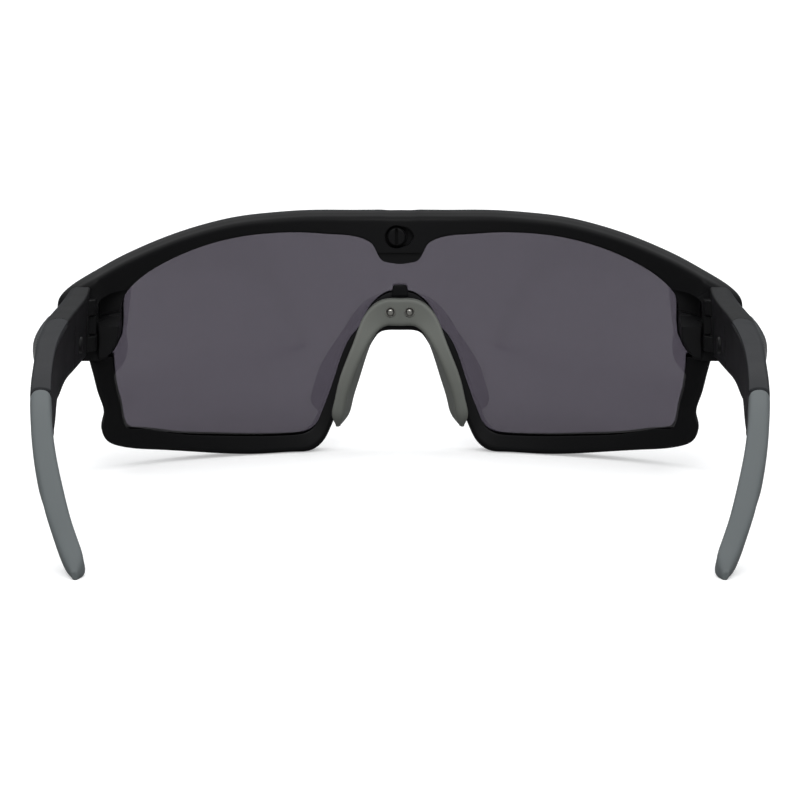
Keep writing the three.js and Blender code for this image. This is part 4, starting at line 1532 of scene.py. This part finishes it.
BROW = Rim(
    (
        (0, 38.75, 0, 49.85),
        (2.4, 39.05, 2.5, 49.85),
        (3.7, 39.5, 4.0, 49.95),
        (4.4, 40.4, 4.9, 49.95),
        (5.6, 42.8, 6.4, 49.95),
        (6.3, 43.4, 7.2, 49.95),
        (8.2, 44.25, 8.9, 49.95),
        (13.3, 45.0, 13.6, 50.05),
        (19.5, 45.55, 19.9, 50.1),
        (25.5, 45.65, 26.2, 49.85),
        (31.5, 45.3, 32.8, 49.35),
        (37.5, 44.3, 39.2, 48.25),
        (43.4, 42.6, 45.6, 46.65),
        (49.3, 40.05, 52, 44.55),
        (52.6, 37.9, 56.6, 42.75),
        (54.5, 36.0, 59.6, 41.35),
        (55.6, 33.8, 62.3, 39.95),
        (55.8, 30.4, 65.5, 38.05),
        (56.0, 27.2, 67.9, 35.7),
        (57.7, 24.1, 68.3, 32.7),
        (59.6, 23, 68.2, 29.4),
        (62, 22.9, 67.8, 25.8),
        (64.6, 22.9, 67.3, 23.6),
    ),
    rear_radius=74.5,
    front_radius=83.0,
    rear_plane=35.6,
)
LOWER = Rim(
    (
        (0, 33.1, 0, 24.8),
        (2.4, 32.9, 2.2, 24.8),
        (3.8, 32.2, 3.8, 24.5),
        (5.5, 30.8, 5, 23.4),
        (7.8, 27.2, 6.4, 21),
        (8.6, 25.6, 7.0, 19.9),
        (10.0, 24.0, 7.7, 18.6),
        (11.2, 22.2, 8.4, 17.1),
        (13.1, 17.1, 10.6, 13),
        (15.0, 11.6, 12.6, 8.6),
        (16.3, 8.2, 14.3, 4.6),
        (17.6, 5.6, 15.9, 1.8),
        (19.4, 4.3, 18, 0.3),
        (22.6, 3.9, 21.2, 0),
        (30, 4.1, 29.2, 0),
        (38.6, 4.9, 40.2, 1.2),
        (46.8, 6.0, 49.8, 2.9),
        (53, 7.4, 56.4, 4.6),
        (55.2, 8.0, 58.9, 6.3),
        (55.9, 9.3, 59.75, 8.3),
        (56.2, 10.7, 59.85, 9.8),
        (56.5, 12.8, 59.4, 11.8),
        (57.2, 15.8, 60.2, 15.4),
        (57.7, 19.6, 61.1, 19.2),
        (57.9, 22.7, 61.9, 22.7),
    ),
    rear_radius=75.6,
    front_radius=82.3,
)
LENS_COLUMNS = (
    (0, 31.8, 0, 41.0),
    (2.4, 31.6, 2.4, 41.2),
    (4.0, 30.6, 4.6, 43.0),
    (5.1, 29.1, 6.2, 46.2),
    (6.9, 26.0, 8.6, 46.6),
    (9.3, 22.2, 11, 46.9),
    (11.9, 16.5, 13.4, 47.1),
    (13.9, 10.7, 15.6, 47.3),
    (15.3, 6.6, 17.4, 47.5),
    (16.7, 4.2, 18.8, 47.6),
    (19.2, 2.9, 20.8, 47.6),
    (22.6, 2.5, 24, 47.6),
    (30, 2.6, 31.5, 47.3),
    (38.6, 3.5, 38.8, 46.1),
    (46.6, 4.7, 45.6, 43.9),
    (53, 6.1, 51.2, 41.2),
    (56, 6.9, 54.2, 38.8),
    (57.2, 8.0, 57.1, 36.4),
)
SADDLE_STATIONS = (
    (0, 6.9, 29.1, 2.75, 1.5, 0),
    (2.9, 6.9, 29, 2.7, 1.5, 0),
    (5.1, 7.2, 27.7, 2.3, 1.8, 0.05),
    (7.3, 8.3, 24, 1.6, 2.7, 0.14),
    (9.1, 9.3, 19.4, 1.35, 3.5, 0.22),
    (10.5, 9.9, 15.2, 1.25, 3.8, 0.26),
    (11.6, 10.3, 11, 1.15, 3.6, 0.26),
    (12.3, 10.4, 7.8, 0.95, 2.6, 0.26),
    (12.6, 10.4, 6.4, 0.4, 1.0, 0.26),
)
TEMPLE_FORM = TempleForm(
    inner_top=(
        (36.2, 61.3), (44, 61.3), (60, 62.5), (75, 63.8), (93, 64.4), (103, 64.3), (112.5, 63.9),
        (119.5, 63.3), (127.5, 62.1), (135, 60.4), (140, 59), (145, 57), (149.6, 56.2), (151.3, 57),
    ),
    inner_bottom=(
        (36.2, 61.9), (44, 62.1), (56, 62.6), (69.5, 63.3), (81, 63.7), (93, 63.9), (106, 63.5),
        (112.5, 63.4), (120, 62.9), (128, 61.0), (132, 59.7), (137.5, 57.8), (142.5, 56.3), (147, 55.5),
        (151.3, 56.8),
    ),
    outer_top=(
        (36.2, 64.9), (45, 65.0), (52, 65.6), (58, 66.3), (64, 67), (75, 67.8), (87, 68.2), (98, 68),
        (112.5, 67.7), (119.5, 67.2), (127.5, 66.2), (135, 64.6), (140, 63.2), (145, 61.1), (149.6, 59.0),
        (151.3, 57.8),
    ),
    outer_bottom=(
        (36.2, 67.2), (45, 67.9), (55, 68.4), (65, 68.5), (75, 68.2), (87, 67.7), (98, 67.4), (106, 67.2),
        (112.5, 67.1), (120, 66.2), (128, 64.7), (132, 63.4), (137.5, 61.7), (142.5, 60.2), (147, 58.8),
        (151.3, 57.6),
    ),
    bow=(
        (36.2, 2.4), (45, 3.4), (55, 3.3), (65, 2.5), (75, 1.4), (85, 0.7), (95, 0.4), (112.5, 0.2),
        (130, 0.1), (151.3, 0),
    ),
    upper=(
        (36.2, 37.9), (50, 37), (65, 36), (80, 34.7), (92, 33.3), (100, 31.9), (107, 30.2), (112.5, 28.2),
        (118, 25.7), (125, 21.3), (133, 15.7), (141, 9.6), (147, 4.8), (149.6, 2.9), (151.3, 1.3),
    ),
    lower=(
        (36.2, 23.7), (50, 24), (65, 24.1), (80, 23.9), (90, 23.1), (93, 23.1), (100, 22.0), (107, 20.2),
        (112.5, 18.9), (118, 16.5), (125, 12.1), (133, 7.3), (141, 2.6), (147, 0.0), (151.3, 0.0),
    ),
)


def main() -> None:
    """Builds the studio and the glasses, piece by piece."""
    logging.basicConfig(level=logging.INFO, format="%(name)s: %(message)s")
    Studio().build()
    BrowFrame(BROW).build()
    ShieldLens(LENS_COLUMNS).build()
    LowerFrame(LOWER).build()
    LensLock().build()
    NoseSaddle(SADDLE_STATIONS).build()
    for side in Side:
        Temple(TEMPLE_FORM, side).build()


if __name__ == "__main__":
    main()
